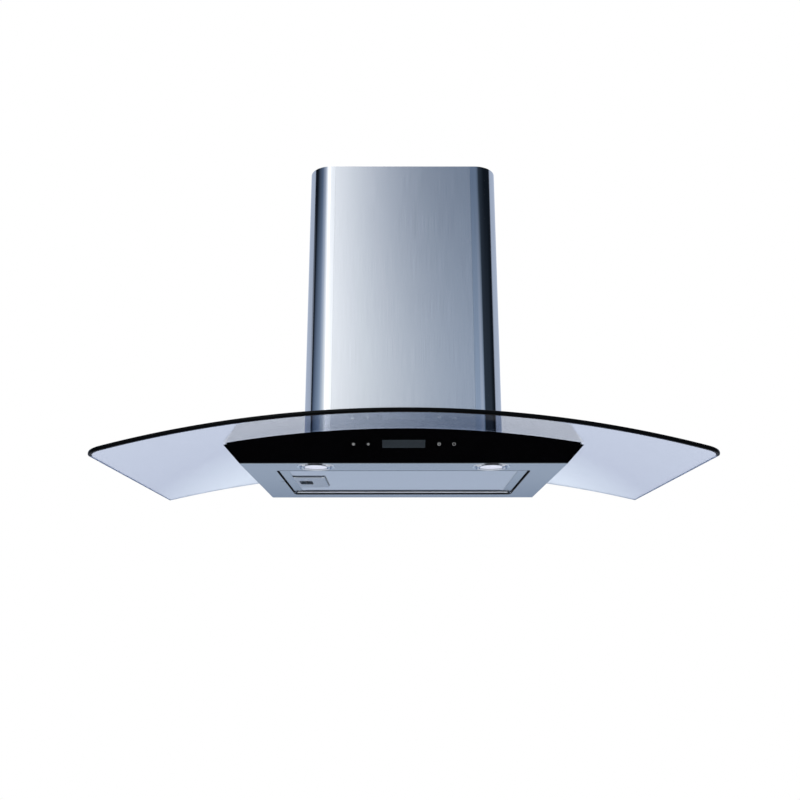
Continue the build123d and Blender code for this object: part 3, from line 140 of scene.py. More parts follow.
class HoodSizes(bpy.types.PropertyGroup):
    """Sizes of the dressed pieces."""

    front_bow: FloatProperty(
        name="Front bow", description="Radius of the glass's front edge in plan", default=3.116, unit="LENGTH"
    )
    arch_radius: FloatProperty(
        name="Arch radius", description="Radius of the glass's underside", default=1.930, unit="LENGTH"
    )
    glass_thickness: FloatProperty(
        name="Glass thickness", description="Thickness of the canopy", default=0.006, unit="LENGTH"
    )
    glass_corner: FloatProperty(
        name="Glass corner", description="Radius of the glass's front corners", default=0.025, unit="LENGTH"
    )
    edge_round: FloatProperty(
        name="Edge round", description="How far the glass's ground edge rounds in", default=0.0016, unit="LENGTH"
    )
    edge_print: FloatProperty(
        name="Edge print", description="Width of the print under the glass's front edge", default=0.004, unit="LENGTH"
    )
    mesh_pitch: FloatProperty(
        name="Mesh pitch", description="Length of one diamond of the filter mesh", default=0.008, unit="LENGTH"
    )
    mesh_rise: FloatProperty(
        name="Mesh rise", description="Height of one diamond of the filter mesh", default=0.005, unit="LENGTH"
    )
    bend: FloatProperty(
        name="Bend line", description="Where the chimney's bends begin, from its middle", default=0.119, unit="LENGTH"
    )
    filter_gap: FloatProperty(
        name="Filter gap", description="Room between the filter and its opening", default=0.0025, unit="LENGTH"
    )
    # The lip sizes the black strips that are painted shade round the opening and across the mesh
    trim: FloatProperty(
        name="Edge trim", description="Lip of the rubber on the opening's edge", default=0.0005, unit="LENGTH"
    )
    spring_strip: FloatProperty(
        name="Spring strip", description="Thickness of the catch's spring", default=0.0006, unit="LENGTH"
    )
    catch_travel: FloatProperty(
        name="Catch travel", description="How far the catch slides back", default=0.0065, unit="LENGTH"
    )
    strand: FloatProperty(
        name="Strand", description="Width of the filter mesh's strands", default=0.0015, unit="LENGTH"
    )


class HoodColours(bpy.types.PropertyGroup):
    """Colours of the finishes."""

    steel: FloatVectorProperty(
        name="Steel", description="Stainless steel of the covers", default=linear("#CDCFD2"), size=4, subtype="COLOR"
    )
    glass: FloatVectorProperty(
        name="Glass", description="Tint of the canopy", default=linear("#DCE4F5"), size=4, subtype="COLOR"
    )
    fascia: FloatVectorProperty(
        name="Fascia", description="Back paint of the fascia", default=linear("#030304"), size=4, subtype="COLOR"
    )
    key_print: FloatVectorProperty(
        name="Key print", description="Signs on the push keys", default=linear("#767879"), size=4, subtype="COLOR"
    )
    plastic: FloatVectorProperty(
        name="Grey plastic", description="Scroll, collar and flaps", default=linear("#B9BDC2"), size=4, subtype="COLOR"
    )


def add(tree, kind, inputs=None, links=None, to=None, stops=(), **settings):
    """Add one node with its settings, its inputs, the links into it and the socket that it feeds."""
    node = tree.nodes.new(kind)
    for name, value in settings.items():
        setattr(node, name, value)
    for name, value in (inputs or {}).items():
        node.inputs[name].default_value = value
    for name, source in (links or {}).items():
        tree.links.new(getattr(source, "outputs", [source])[0], node.inputs[name])
    if to:
        tree.links.new(node.outputs[0], to)
    if stops:
        elements = node.color_ramp.elements
        while len(elements) < len(stops):
            elements.new(0.5)
        for element, (position, colour) in zip(elements, stops):
            element.position = position
            element.color = colour
    return node


def pattern_space(tree, *size):
    """Object space in which one unit of a pattern is this many metres each way."""
    place = add(tree, "ShaderNodeTexCoord")
    scale = [1 / length for length in size]
    return add(tree, "ShaderNodeMapping", {"Scale": scale}, {"Vector": place.outputs["Object"]})


def surface(name, colour, **values):
    """A material with one Principled shader, its constants on the shader's own sockets."""
    material = bpy.data.materials.new(name)
    material.use_nodes = True
    tree = material.node_tree
    sockets = tree.nodes["Principled BSDF"].inputs
    sockets["Base Color"].default_value = colour
    for socket, value in values.items():
        sockets[socket.replace("_", " ")].default_value = value
    return material, tree, sockets


def grained(name, colour, grain, shades, roughness, skin=0.0, detail=2.0, **values):
    """A material whose grain, a noise of this size in metres, moves its colour, roughness and height."""
    material, tree, sockets = surface(name, colour, **values)
    noise = add(tree, "ShaderNodeTexNoise", {"Scale": 1.0, "Detail": detail}, {"Vector": pattern_space(tree, *grain)})
    # The noise seldom leaves the range from 0.3 to 0.7
    ends = (0.3, tinted(colour, shades[0])), (0.7, tinted(colour, shades[1]))
    add(tree, "ShaderNodeValToRGB", links={"Fac": noise}, to=sockets["Base Color"], stops=ends)
    spread = {"To Min": roughness[0], "To Max": roughness[1]}
    add(tree, "ShaderNodeMapRange", spread, {"Value": noise}, sockets["Roughness"])
    if skin:
        add(tree, "ShaderNodeBump", {"Strength": 0.25, "Distance": skin}, {"Height": noise}, sockets["Normal"])
    return material


def brushed_stainless(name, colour, grain):
    """Stainless sheet, belt ground: fine hairlines one way, with a soft mirror under them."""
    # Belt lines are about 0.05 mm wide; they are drawn 0.5 mm wide and 80 mm long, so that they show
    lines = [0.5 * MM] * 3
    lines["XYZ".index(grain)] = 80 * MM
    return grained(name, colour, lines, (0.95, 1.03), (0.13, 0.20), 0.01 * MM, 3.0, Metallic=1.0)


def chimney_stainless(colour, bend):
    """Stainless sheet, belt ground upright on the flat and buffed bright over the bends, with a painted shade line
    where each bend begins.
    """
    material, tree, sockets = surface("stainless_with_buffed_bends", colour, Metallic=1.0)
    # Belt lines as on the casing, drawn 0.5 mm wide
    space = pattern_space(tree, 0.5 * MM, 0.5 * MM, 80 * MM)
    hair = add(tree, "ShaderNodeTexNoise", {"Scale": 1.0, "Detail": 3.0}, {"Vector": space})
    place = add(tree, "ShaderNodeTexCoord")
    parts = add(tree, "ShaderNodeSeparateXYZ", links={"Vector": place.outputs["Object"]})
    reach = add(tree, "ShaderNodeMath", links={0: parts.outputs["X"]}, operation="ABSOLUTE")
    limits = {"From Min": bend - 0.5 * MM, "From Max": bend + 0.5 * MM}
    buffed = add(tree, "ShaderNodeMapRange", limits, {"Value": reach})
    satin = add(tree, "ShaderNodeMapRange", {"To Min": 0.20, "To Max": 0.28}, {"Value": hair})
    bright = add(tree, "ShaderNodeMapRange", {"To Min": 0.06, "To Max": 0.10}, {"Value": hair})
    add(tree, "ShaderNodeMix", links={"Factor": buffed, "A": satin, "B": bright}, to=sockets["Roughness"])
    ends = (0.3, tinted(colour, 0.94)), (0.7, tinted(colour, 1.04))
    lined = add(tree, "ShaderNodeValToRGB", links={"Fac": hair}, stops=ends)
    # A painted shade line 1 mm wide, a tenth darker, where each bend begins and its reflection turns
    bend_shade_line = add(tree, "ShaderNodeMath", {1: bend, 2: 0.5 * MM}, {0: reach}, operation="COMPARE")
    bend_shade = {"Color2": tinted(colour, 0.9)}
    add(tree, "ShaderNodeMixRGB", bend_shade, {"Fac": bend_shade_line, "Color1": lined}, sockets["Base Color"])
    return material


def toughened_glass(colour):
    """Float glass, toughened: clear, with a faint grey-blue body and a sharp gloss."""
    material, tree, sockets = surface("toughened_glass", colour, Roughness=0.0, IOR=1.5, Transmission_Weight=1.0)
    # Toughening leaves a slow roll wave, some 120 mm long and hardly deep
    space = pattern_space(tree, 0.3, 0.12, 0.3)
    wave = add(tree, "ShaderNodeTexNoise", {"Scale": 1.0, "Detail": 0.0}, {"Vector": space})
    add(tree, "ShaderNodeBump", {"Strength": 0.02, "Distance": 1 * MM}, {"Height": wave}, sockets["Normal"])
    return material


def enamelled_edge():
    """Glass edge, ground round and enamelled black: a deep line with one thin highlight."""
    # Grinding marks run round the edge, about 0.4 mm apart
    return grained(
        "enamelled_glass_edge", linear("#050607"), (8 * MM, 8 * MM, 0.4 * MM), (0.8, 1.2), (0.14, 0.26), IOR=1.5,
        Specular_IOR_Level=0.05,
    )


def ground_edge():
    """Glass edge, ground and left satin: a pale line that scatters what the sheet gathers."""
    # Grinding marks run round the edge, about 0.5 mm apart
    return grained(
        "ground_glass_edge", linear("#B4BCCC"), (6 * MM, 6 * MM, 0.5 * MM), (0.96, 1.03), (0.4, 0.55), 0.02 * MM,
        IOR=1.5,
    )


def back_painted_glass(colour):
    """Glass painted black on its back: no body colour to see, only a sharp reflection."""
    # Faint haze from wiping, in patches of about 40 mm
    return grained(
        "back_painted_glass", colour, [40 * MM] * 3, (0.9, 1.1), (0.02, 0.05), detail=4.0, IOR=1.5,
        Specular_IOR_Level=0.35,
    )


def smoked_acrylic():
    """Acrylic window, cast and smoked: dark slate with a clean gloss over the dim module behind it."""
    material, tree, sockets = surface("smoked_acrylic", linear("#2D3338"), Roughness=0.06, IOR=1.49)
    # The display's own cells show faintly through it, 2 mm apart
    cells = {"Scale": 1.0, "Mortar Size": 0.06, "Color1": linear("#2B3136"), "Color2": linear("#30363B")}
    cells["Mortar"] = linear("#272C31")
    space = pattern_space(tree, *[4 * MM] * 3)
    add(tree, "ShaderNodeTexBrick", cells, {"Vector": space}, sockets["Base Color"])
    return material


def satin_abs():
    """ABS, moulded black with a spark-eroded face: satin, and hardly lighter than the glass round it."""
    # Spark erosion pits are about 0.1 mm; drawn 0.3 mm wide, so that they show
    return grained(
        "satin_abs", linear("#040405"), [0.3 * MM] * 3, (0.9, 1.1), (0.38, 0.48), 0.03 * MM, IOR=1.53,
        Specular_IOR_Level=0.05,
    )


def plated_abs():
    """ABS, plated with satin chrome: a soft grey mirror that goes dark where it faces the room."""
    # Bead-blast pits under the plate, about 0.5 mm wide
    return grained(
        "satin_chrome_on_abs", linear("#D2D8DE"), [0.5 * MM] * 3, (0.95, 1.04), (0.24, 0.34), 0.01 * MM, Metallic=1.0
    )


def moulded_plastic(name, colour, roughness, grain):
    """Polypropylene or polyamide, injection moulded: matt, with a fine even grain."""
    spread = (roughness - 0.06, roughness + 0.08)
    return grained(name, colour, [grain] * 3, (0.93, 1.05), spread, 0.05 * MM, 3.0, IOR=1.49)


def gap_shade_black():
    """Black extruded strip, matt, a little dusty, with faint draw lines: painted shade for the dark gaps round and
    across the filter.
    """
    # Draw lines are about 0.4 mm apart
    return grained(
        "painted_gap_shade", linear("#121314"), (20 * MM, 20 * MM, 0.4 * MM), (0.85, 1.25), (0.6, 0.75), 0.03 * MM
    )


def galvanised_sheet():
    """Steel sheet, hot-dip galvanised: a dull grey mirror broken into frost-like spangles."""
    material, tree, sockets = surface("galvanised_sheet", linear("#B4B8BC"), Metallic=1.0)
    # Spangles are about 9 mm across
    spangle = add(tree, "ShaderNodeTexVoronoi", {"Scale": 1.0}, {"Vector": pattern_space(tree, *[9 * MM] * 3)})
    shades = add(tree, "ShaderNodeSeparateColor", links={"Color": spangle.outputs["Color"]})
    ends = (0.1, linear("#A4A9AE")), (0.9, linear("#C2C6CA"))
    add(tree, "ShaderNodeValToRGB", links={"Fac": shades}, to=sockets["Base Color"], stops=ends)
    spread = {"To Min": 0.34, "To Max": 0.52}
    add(tree, "ShaderNodeMapRange", spread, {"Value": shades.outputs["Green"]}, sockets["Roughness"])
    return material


def silicone_rubber():
    """Silicone, extruded: matt translucent grey that holds a little dust."""
    # Dust gathers in patches of about 5 mm
    return grained(
        "silicone_rubber", linear("#B9BBBC"), [5 * MM] * 3, (0.88, 1.04), (0.5, 0.7), detail=4.0, IOR=1.41
    )


def painted_light_silicone():
    """Silicone strip, extruded and tinted nearly white: smooth and soft, its near-white tint painted light that lifts
    it out of the gap's shade.
    """
    # Die lines are about 0.2 mm; drawn 0.5 mm wide, so that they show
    return grained(
        "painted_light_silicone", linear("#DCE4F0"), (20 * MM, 0.5 * MM, 0.5 * MM), (0.96, 1.03), (0.4, 0.55), IOR=1.41
    )


def lacquered_laminate():
    """Glass-fibre laminate with solder lacquer: green, glossy, with copper tracks that show paler."""
    material, tree, sockets = surface("lacquered_laminate", linear("#1F5A38"), Roughness=0.3, IOR=1.55)
    # Tracks are 0.7 mm wide, in blocks of 6 mm
    tracks = {"Scale": 1.0, "Mortar Size": 0.12, "Color1": linear("#1B5233"), "Color2": linear("#226340")}
    tracks["Mortar"] = linear("#4B8A5A")
    add(tree, "ShaderNodeTexBrick", tracks, {"Vector": pattern_space(tree, *[6 * MM] * 3)}, sockets["Base Color"])
    return material


def chrome_plate():
    """Chrome on pressed brass: a bright, slightly blue mirror with a breath of wiping marks."""
    # Wiping marks are about 4 mm across
    return grained(
        "chrome_plate", linear("#C8CDD6"), [4 * MM] * 3, (0.97, 1.02), (0.05, 0.14), detail=3.0, Metallic=1.0
    )


def frosted_lamp_glass():
    """Pressed lamp glass, frosted inside: a milky disc that glows evenly, with fine prisms."""
    # Prisms are about 1.5 mm apart
    return grained(
        "frosted_lamp_glass", linear("#CDD0E0"), [1.5 * MM] * 3, (0.95, 1.02), (0.2, 0.4), 0.15 * MM, IOR=1.5,
        Emission_Color=linear("#F4F2FF"), Emission_Strength=0.18,
    )


def cast_aluminium():
    """Aluminium, die cast and tumbled: satin silver with a fine sandy skin."""
    # Tumbling leaves a skin of about 0.8 mm grit
    return grained(
        "cast_aluminium", linear("#BFC2C5"), [0.8 * MM] * 3, (0.9, 1.05), (0.38, 0.55), 0.1 * MM, 4.0, Metallic=1.0
    )


def expanded_aluminium():
    """Aluminium sheet, slit and drawn: bright satin strands with roll marks along them."""
    # Roll marks are about 0.1 mm wide; drawn 0.5 mm wide, so that they show
    return grained(
        "expanded_aluminium", linear("#AAB8CE"), (6 * MM, 0.5 * MM, 0.5 * MM), (0.92, 1.03), (0.3, 0.42), Metallic=1.0
    )


def packed_mesh():
    """Layers of fine aluminium mesh, pressed together: a soft grey weave with painted shade in its depths."""
    colour = linear("#B8C0CB")
    material, tree, sockets = surface("packed_aluminium_mesh", colour, Metallic=0.6, Roughness=0.5)
    # Openings of the inner layers are about 3 by 2 mm
    weave = add(tree, "ShaderNodeTexVoronoi", {"Scale": 1.0}, {"Vector": pattern_space(tree, 3 * MM, 2 * MM, 2 * MM)})
    # The cells darken to six tenths of the grey: painted shade for the depths of the openings
    ends = (0.2, colour), (0.8, tinted(colour, 0.6))
    add(tree, "ShaderNodeValToRGB", links={"Fac": weave}, to=sockets["Base Color"], stops=ends)
    add(tree, "ShaderNodeBump", {"Strength": 0.5, "Distance": 0.6 * MM}, {"Height": weave}, sockets["Normal"])
    return material


def ground_steel():
    """Steel, ground and zinc plated: bright, with fine turning rings."""
    # Turning rings are drawn 0.4 mm apart, so that they show
    return grained("ground_steel", linear("#C3C5C7"), [0.4 * MM] * 3, (0.9, 1.05), (0.18, 0.34), Metallic=1.0)


def spring_strip():
    """Spring steel, cold rolled and tempered: grey with a faint straw bloom."""
    # The bloom comes in patches of about 6 mm
    return grained("spring_steel_strip", linear("#A3A19C"), [6 * MM] * 3, (0.8, 1.05), (0.24, 0.38), Metallic=1.0)


def dip_painted_steel():
    """Pressed steel, dip painted: dark grey with a soft orange-peel skin."""
    # Orange peel is about 2 mm across
    return grained(
        "dip_painted_steel", linear("#3A3D40"), [2 * MM] * 3, (0.9, 1.06), (0.34, 0.46), 0.15 * MM, 1.0, IOR=1.5
    )


def screen_print(colour):
    """Screen print on the key caps: a thin coat of matt grey ink."""
    # The screen's threads leave a grain of about 0.3 mm
    return grained("screen_print_ink", colour, [0.3 * MM] * 3, (0.92, 1.05), (0.42, 0.6), IOR=1.5)


def axes_along(out, right):
    """A frame whose third axis points out and whose first is as near right as can be."""
    third = Vector(out).normalized()
    first = (Vector(right) - third * Vector(right).dot(third)).normalized()
    return Matrix((first, third.cross(first), third)).transposed()


def lathe(shape, profile, centre, turn, steps=32):
    """Revolve a profile of radius and height about the third axis of a frame."""
    rings = []
    for radius, height in profile:
        if radius == 0:
            rings.append([shape.verts.new(Vector(centre) + turn @ Vector((0, 0, height)))])
            continue
        ring = []
        for k in range(steps):
            angle = 2 * pi * k / steps
            point = Vector((radius * cos(angle), radius * sin(angle), height))
            ring.append(shape.verts.new(Vector(centre) + turn @ point))
        rings.append(ring)
    for low, high in zip(rings, rings[1:]):
        for k in range(steps):
            after = (k + 1) % steps
            if len(low) == 1:
                shape.faces.new((low[0], high[k], high[after]))
            elif len(high) == 1:
                shape.faces.new((low[k], low[after], high[0]))
            else:
                shape.faces.new((low[k], low[after], high[after], high[k]))


def prism(shape, outline, centre, turn, bottom, top):
    """Raise a flat outline into a solid between two heights."""
    low = [shape.verts.new(Vector(centre) + turn @ Vector((x, y, bottom))) for x, y in outline]
    high = [shape.verts.new(Vector(centre) + turn @ Vector((x, y, top))) for x, y in outline]
    shape.faces.new(low[::-1])
    shape.faces.new(high)
    for k in range(len(outline)):
        after = (k + 1) % len(outline)
        shape.faces.new((low[k], low[after], high[after], high[k]))


def block(shape, low, high):
    """A plain block between its lowest and its highest corner."""
    outline = ((low[0], low[1]), (high[0], low[1]), (high[0], high[1]), (low[0], high[1]))
    prism(shape, outline, (0, 0, 0), Matrix.Identity(3), low[2], high[2])


def pan_head(shape, centre, out, radius, height):
    """A pan-head screw's head with a cross recess."""
    # An odd direction, so that the recess stands square to nothing
    turn = axes_along(out, (0.37, 0.61, 0.7))
    # The head's outline and its recess, as shares of its radius and height
    outline = ((1.0, 0.0), (1.0, 0.45), (0.9, 0.8), (0.72, 1.0))
    wide = 0.16 * radius
    long = 0.52 * radius
    recess = 0.35 * height
    cross = []
    for k in range(4):
        side = Matrix.Rotation(pi / 2 * k, 2)
        cross += [side @ Vector((long, -wide)), side @ Vector((long, wide)), side @ Vector((wide, wide))]
    angles = [atan2(point.y, point.x) for point in cross]
    around = []
    for k, angle in enumerate(angles):
        gap = (angles[(k + 1) % len(angles)] - angle) % (2 * pi)
        around += [angle, angle + gap / 2]

    def ring(size, level):
        points = [Vector((size * cos(angle), size * sin(angle), level)) for angle in around]
        return [shape.verts.new(Vector(centre) + turn @ point) for point in points]

    def corners(level):
        return [shape.verts.new(Vector(centre) + turn @ Vector((point.x, point.y, level))) for point in cross]

    rings = [ring(share * radius, level * height) for share, level in outline]
    for low, high in zip(rings, rings[1:]):
        for k in range(len(around)):
            after = (k + 1) % len(around)
            shape.faces.new((low[k], low[after], high[after], high[k]))
    mouth = corners(height)
    floor = corners(recess)
    rim = rings[-1]
    for k in range(len(cross)):
        after = (k + 1) % len(cross)
        shape.faces.new((mouth[k], rim[2 * k], rim[2 * k + 1]))
        shape.faces.new((mouth[k], rim[2 * k + 1], mouth[after]))
        shape.faces.new((mouth[after], rim[2 * k + 1], rim[(2 * k + 2) % len(rim)]))
        shape.faces.new((floor[k], floor[after], mouth[after], mouth[k]))
    shape.faces.new(floor)
    shape.faces.new(rings[0][::-1])


def set_piece(name, mesh, body, materials, replaces=()):
    """Set a finished mesh in the scene, riding on a body, with its materials and the nodes it stands for."""
    piece = bpy.data.objects.new(name, mesh)
    bpy.context.scene.collection.objects.link(piece)
    for material in materials:
        mesh.materials.append(material)
    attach(piece, body)
    if replaces:
        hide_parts(*replaces)
    return piece


def make_piece(name, shape, body, material, replaces=(), sharp=40.0):
    """Turn a bmesh into a piece with smooth faces and edges that are crisp past an angle in degrees."""
    mesh = bpy.data.meshes.new(name)
    bmesh.ops.recalc_face_normals(shape, faces=shape.faces[:])
    for face in shape.faces:
        face.smooth = True
    shape.to_mesh(mesh)
    shape.free()
    mesh.set_sharp_from_angle(angle=radians(sharp))
    return set_piece(name, mesh, body, [material], replaces)


def dress(material, *names):
    """Give CAD nodes a finished material."""
    for name in names:
        NODES[name].material_slots[0].material = material


class HOOD_OT_canopy(bpy.types.Operator):
    """Build the arched glass with its printed front edge and its ground edges"""

    bl_idname = "hood.canopy"
    bl_label = "Glass canopy"

    def execute(self, context):
        sizes = context.scene.hood_sizes
        colours = context.scene.hood_colours
        half_width = GLASS_HIGH.x
        front = GLASS_LOW.y
        rear = GLASS_HIGH.y
        crown = GLASS_HIGH.z - sizes.glass_thickness
        arch_centre = crown - sizes.arch_radius
        bow_centre = front + sizes.front_bow
        corner_x = half_width - sizes.glass_corner
        corner_y = bow_centre - sqrt((sizes.front_bow - sizes.glass_corner) ** 2 - corner_x**2)
        corner_end = atan2(corner_y - bow_centre, corner_x)
        notch_gap = 3 * MM
        notch_x = BOX_HIGH.x + notch_gap
        notch_y = BOX_LOW.y - notch_gap
        corner_steps = 10
        mid_steps = 15
        wing_steps = 26
        front_rows = 10
        rear_rows = 8
        edge_steps = 6

        def columns(inset):
            """Points along the front edge, left to right, drawn in by an inset."""
            right = []
            notch = notch_x + inset
            bow = sizes.front_bow - inset
            tangent_x = bow * cos(corner_end)
            for step in range(mid_steps + 1):
                right.append(notch * step / mid_steps)
            for step in range(1, wing_steps + 1):
                right.append(notch + (tangent_x - notch) * step / wing_steps)
            points = [(x, bow_centre - sqrt(bow**2 - x**2)) for x in right]
            radius = sizes.glass_corner - inset
            for step in range(1, corner_steps + 1):
                turn = corner_end * (1 - step / corner_steps)
                points.append((corner_x + radius * cos(turn), corner_y + radius * sin(turn)))
            return [(-x, y) for x, y in reversed(points[1:])] + points

        def grid(inset):
            """Rows of plan points for each column, up to the notch and past it."""
            table = []
            for x, y in columns(inset):
                rows = [y + (notch_y - inset - y) * row / front_rows for row in range(front_rows + 1)]
                back = notch_y - inset
                rows += [back + (rear - inset - back) * row / rear_rows for row in range(1, rear_rows + 1)]
                table.append([(x, row) for row in rows])
            return table

        def height(x, depth):
            """Height of the arch at x, this far up through the glass."""
            return arch_centre + sqrt((sizes.arch_radius + depth) ** 2 - x**2)

        count = len(columns(0))
        middle = count // 2
        left_notch = middle - mid_steps
        right_notch = middle + mid_steps
        last = front_rows + rear_rows
        rim = [(i, 0) for i in range(count)]
        front_end = len(rim)
        rim += [(count - 1, j) for j in range(1, last + 1)]
        rim += [(i, last) for i in range(count - 2, right_notch - 1, -1)]
        rim += [(right_notch, j) for j in range(last - 1, front_rows - 1, -1)]
        rim += [(i, front_rows) for i in range(right_notch - 1, left_notch - 1, -1)]
        rim += [(left_notch, j) for j in range(front_rows + 1, last + 1)]
        rim += [(i, last) for i in range(left_notch - 1, -1, -1)]
        rim += [(0, j) for j in range(last - 1, 0, -1)]

        shape = bmesh.new()
        sheets = []
        inner = grid(sizes.edge_round)
        below = grid(sizes.edge_round + sizes.edge_print)
        for depth, upward, plan in ((0.0, False, below), (sizes.glass_thickness, True, inner)):
            sheet = {}
            for i in range(count):
                for j in range(last + 1):
                    if j <= front_rows or i <= left_notch or i >= right_notch:
                        x, y = plan[i][j]
                        sheet[i, j] = shape.verts.new((x, y, height(x, depth)))
            for i in range(count - 1):
                for j in range(last):
                    if j < front_rows or i < left_notch or i >= right_notch:
                        corners = [sheet[i, j], sheet[i + 1, j], sheet[i + 1, j + 1], sheet[i, j + 1]]
                        face = shape.faces.new(corners if upward else corners[::-1])
                        face.smooth = True
            sheets.append(sheet)
        rings = [[sheets[0][place] for place in rim]]
        for step in range(edge_steps):
            turn = pi * step / edge_steps
            outline = grid(sizes.edge_round * (1 - sin(turn)))
            depth = sizes.glass_thickness * (1 - cos(turn)) / 2
            ring = []
            for i, j in rim:
                x, y = outline[i][j]
                ring.append(shape.verts.new((x, y, height(x, depth))))
            rings.append(ring)
        rings.append([sheets[1][place] for place in rim])
        for step, (low, high) in enumerate(zip(rings, rings[1:])):
            for k in range(len(rim)):
                after = (k + 1) % len(rim)
                face = shape.faces.new((low[k], low[after], high[after], high[k]))
                face.smooth = True
                if k < front_end - 1:
                    face.material_index = 1
                elif step > 0:
                    face.material_index = 2
        for ring in (rings[1], rings[-1]):
            for k, corner in enumerate(ring):
                shape.edges.get((ring[k - 1], corner)).smooth = False
        mesh = bpy.data.meshes.new("canopy")
        shape.to_mesh(mesh)
        shape.free()
        finishes = [toughened_glass(colours.glass), enamelled_edge(), ground_edge()]
        set_piece("canopy", mesh, "hood", finishes, ["glass_canopy"])
        return {"FINISHED"}


class HOOD_OT_steelwork(bpy.types.Operator):
    """Finish the stainless casing, chimney covers and filter frame, and cover the bolt's slot"""

    bl_idname = "hood.steelwork"
    bl_label = "Steelwork"

    def execute(self, context):
        colours = context.scene.hood_colours
        sizes = context.scene.hood_sizes
        dress(chimney_stainless(colours.steel, sizes.bend), "outer_chimney", "inner_chimney")
        sheet = brushed_stainless("stainless_cross_grain", colours.steel, "X")
        dress(sheet, "lower_casing", "filter_frame", "filter_strike")
        # A thin plate under the casing hides the slot that the catch's bolt goes through
        past_bolt = 5 * MM
        before_edge = 0.4 * MM
        half_width = 13 * MM
        thickness = 0.2 * MM
        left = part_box("filter_latch")[0].x - past_bolt
        right = FRAME_LOW.x - sizes.filter_gap - before_edge
        middle = (HOUSING_LOW.y + HOUSING_HIGH.y) / 2
        shape = bmesh.new()
        block(shape, (left, middle - half_width, -thickness), (right, middle + half_width, 0))
        make_piece("bolt_cover", shape, "hood", sheet)
        return {"FINISHED"}


class HOOD_OT_controls(bpy.types.Operator):
    """Finish the black fascia, its display and its keys, and print the keys' marks"""

    bl_idname = "hood.controls"
    bl_label = "Controls"

    def execute(self, context):
        colours = context.scene.hood_colours
        dress(back_painted_glass(colours.fascia), "control_panel")
        dress(smoked_acrylic(), "display_lens")
        dress(satin_abs(), *(name for name, body, signs in KEY_SIGNS))
        dress(lacquered_laminate(), "control_board")
        turn = axes_along(FASCIA_OUT, (1, 0, 0))
        ink = screen_print(colours.key_print)
        for name, body, signs in KEY_SIGNS:
            low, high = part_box(name)
            middle = Vector(((low.x + high.x) / 2, KEY_FACE.y, KEY_FACE.z))
            shape = bmesh.new()
            for across, up, inner, outer in signs:
                place = middle + turn @ Vector((across * MM, up * MM, 0))
                foot = (inner * MM, 0)
                profile = [foot, (inner * MM, PRINT_COAT), (outer * MM, PRINT_COAT), (outer * MM, 0), foot]
                lathe(shape, profile if inner else profile[1:], place, turn, steps=24)
            make_piece(f"print_{name}", shape, body, ink)
        return {"FINISHED"}


class HOOD_OT_lamps(bpy.types.Operator):
    """Build the chromed lamp rings and the glowing lenses"""

    bl_idname = "hood.lamps"
    bl_label = "Lamps"

    def execute(self, context):
        chrome = chrome_plate()
        glass = frosted_lamp_glass()
        dress(cast_aluminium(), "lamp_holder_left", "lamp_holder_right", "capacitor")
        turn = axes_along((0, 0, 1), (1, 0, 0))
        for side in ("left", "right"):
            low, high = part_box(f"lamp_trim_{side}")
            centre = ((low.x + high.x) / 2, (low.y + high.y) / 2, 0)
            for name, profile, slot, finish, node in (
                ("lamp_ring", RING_PROFILE, "chrome_trim", chrome, "lamp_trim"),
                ("lamp_dome", LENS_PROFILE, "lamp_glass", glass, "lamp_lens"),
            ):
                shape = bmesh.new()
                lathe(shape, [(radius * MM, height * MM) for radius, height in profile], centre, turn, steps=72)
                make_piece(f"{name}_{side}", shape, "hood", finish, [f"{node}_{side}"])
        return {"FINISHED"}


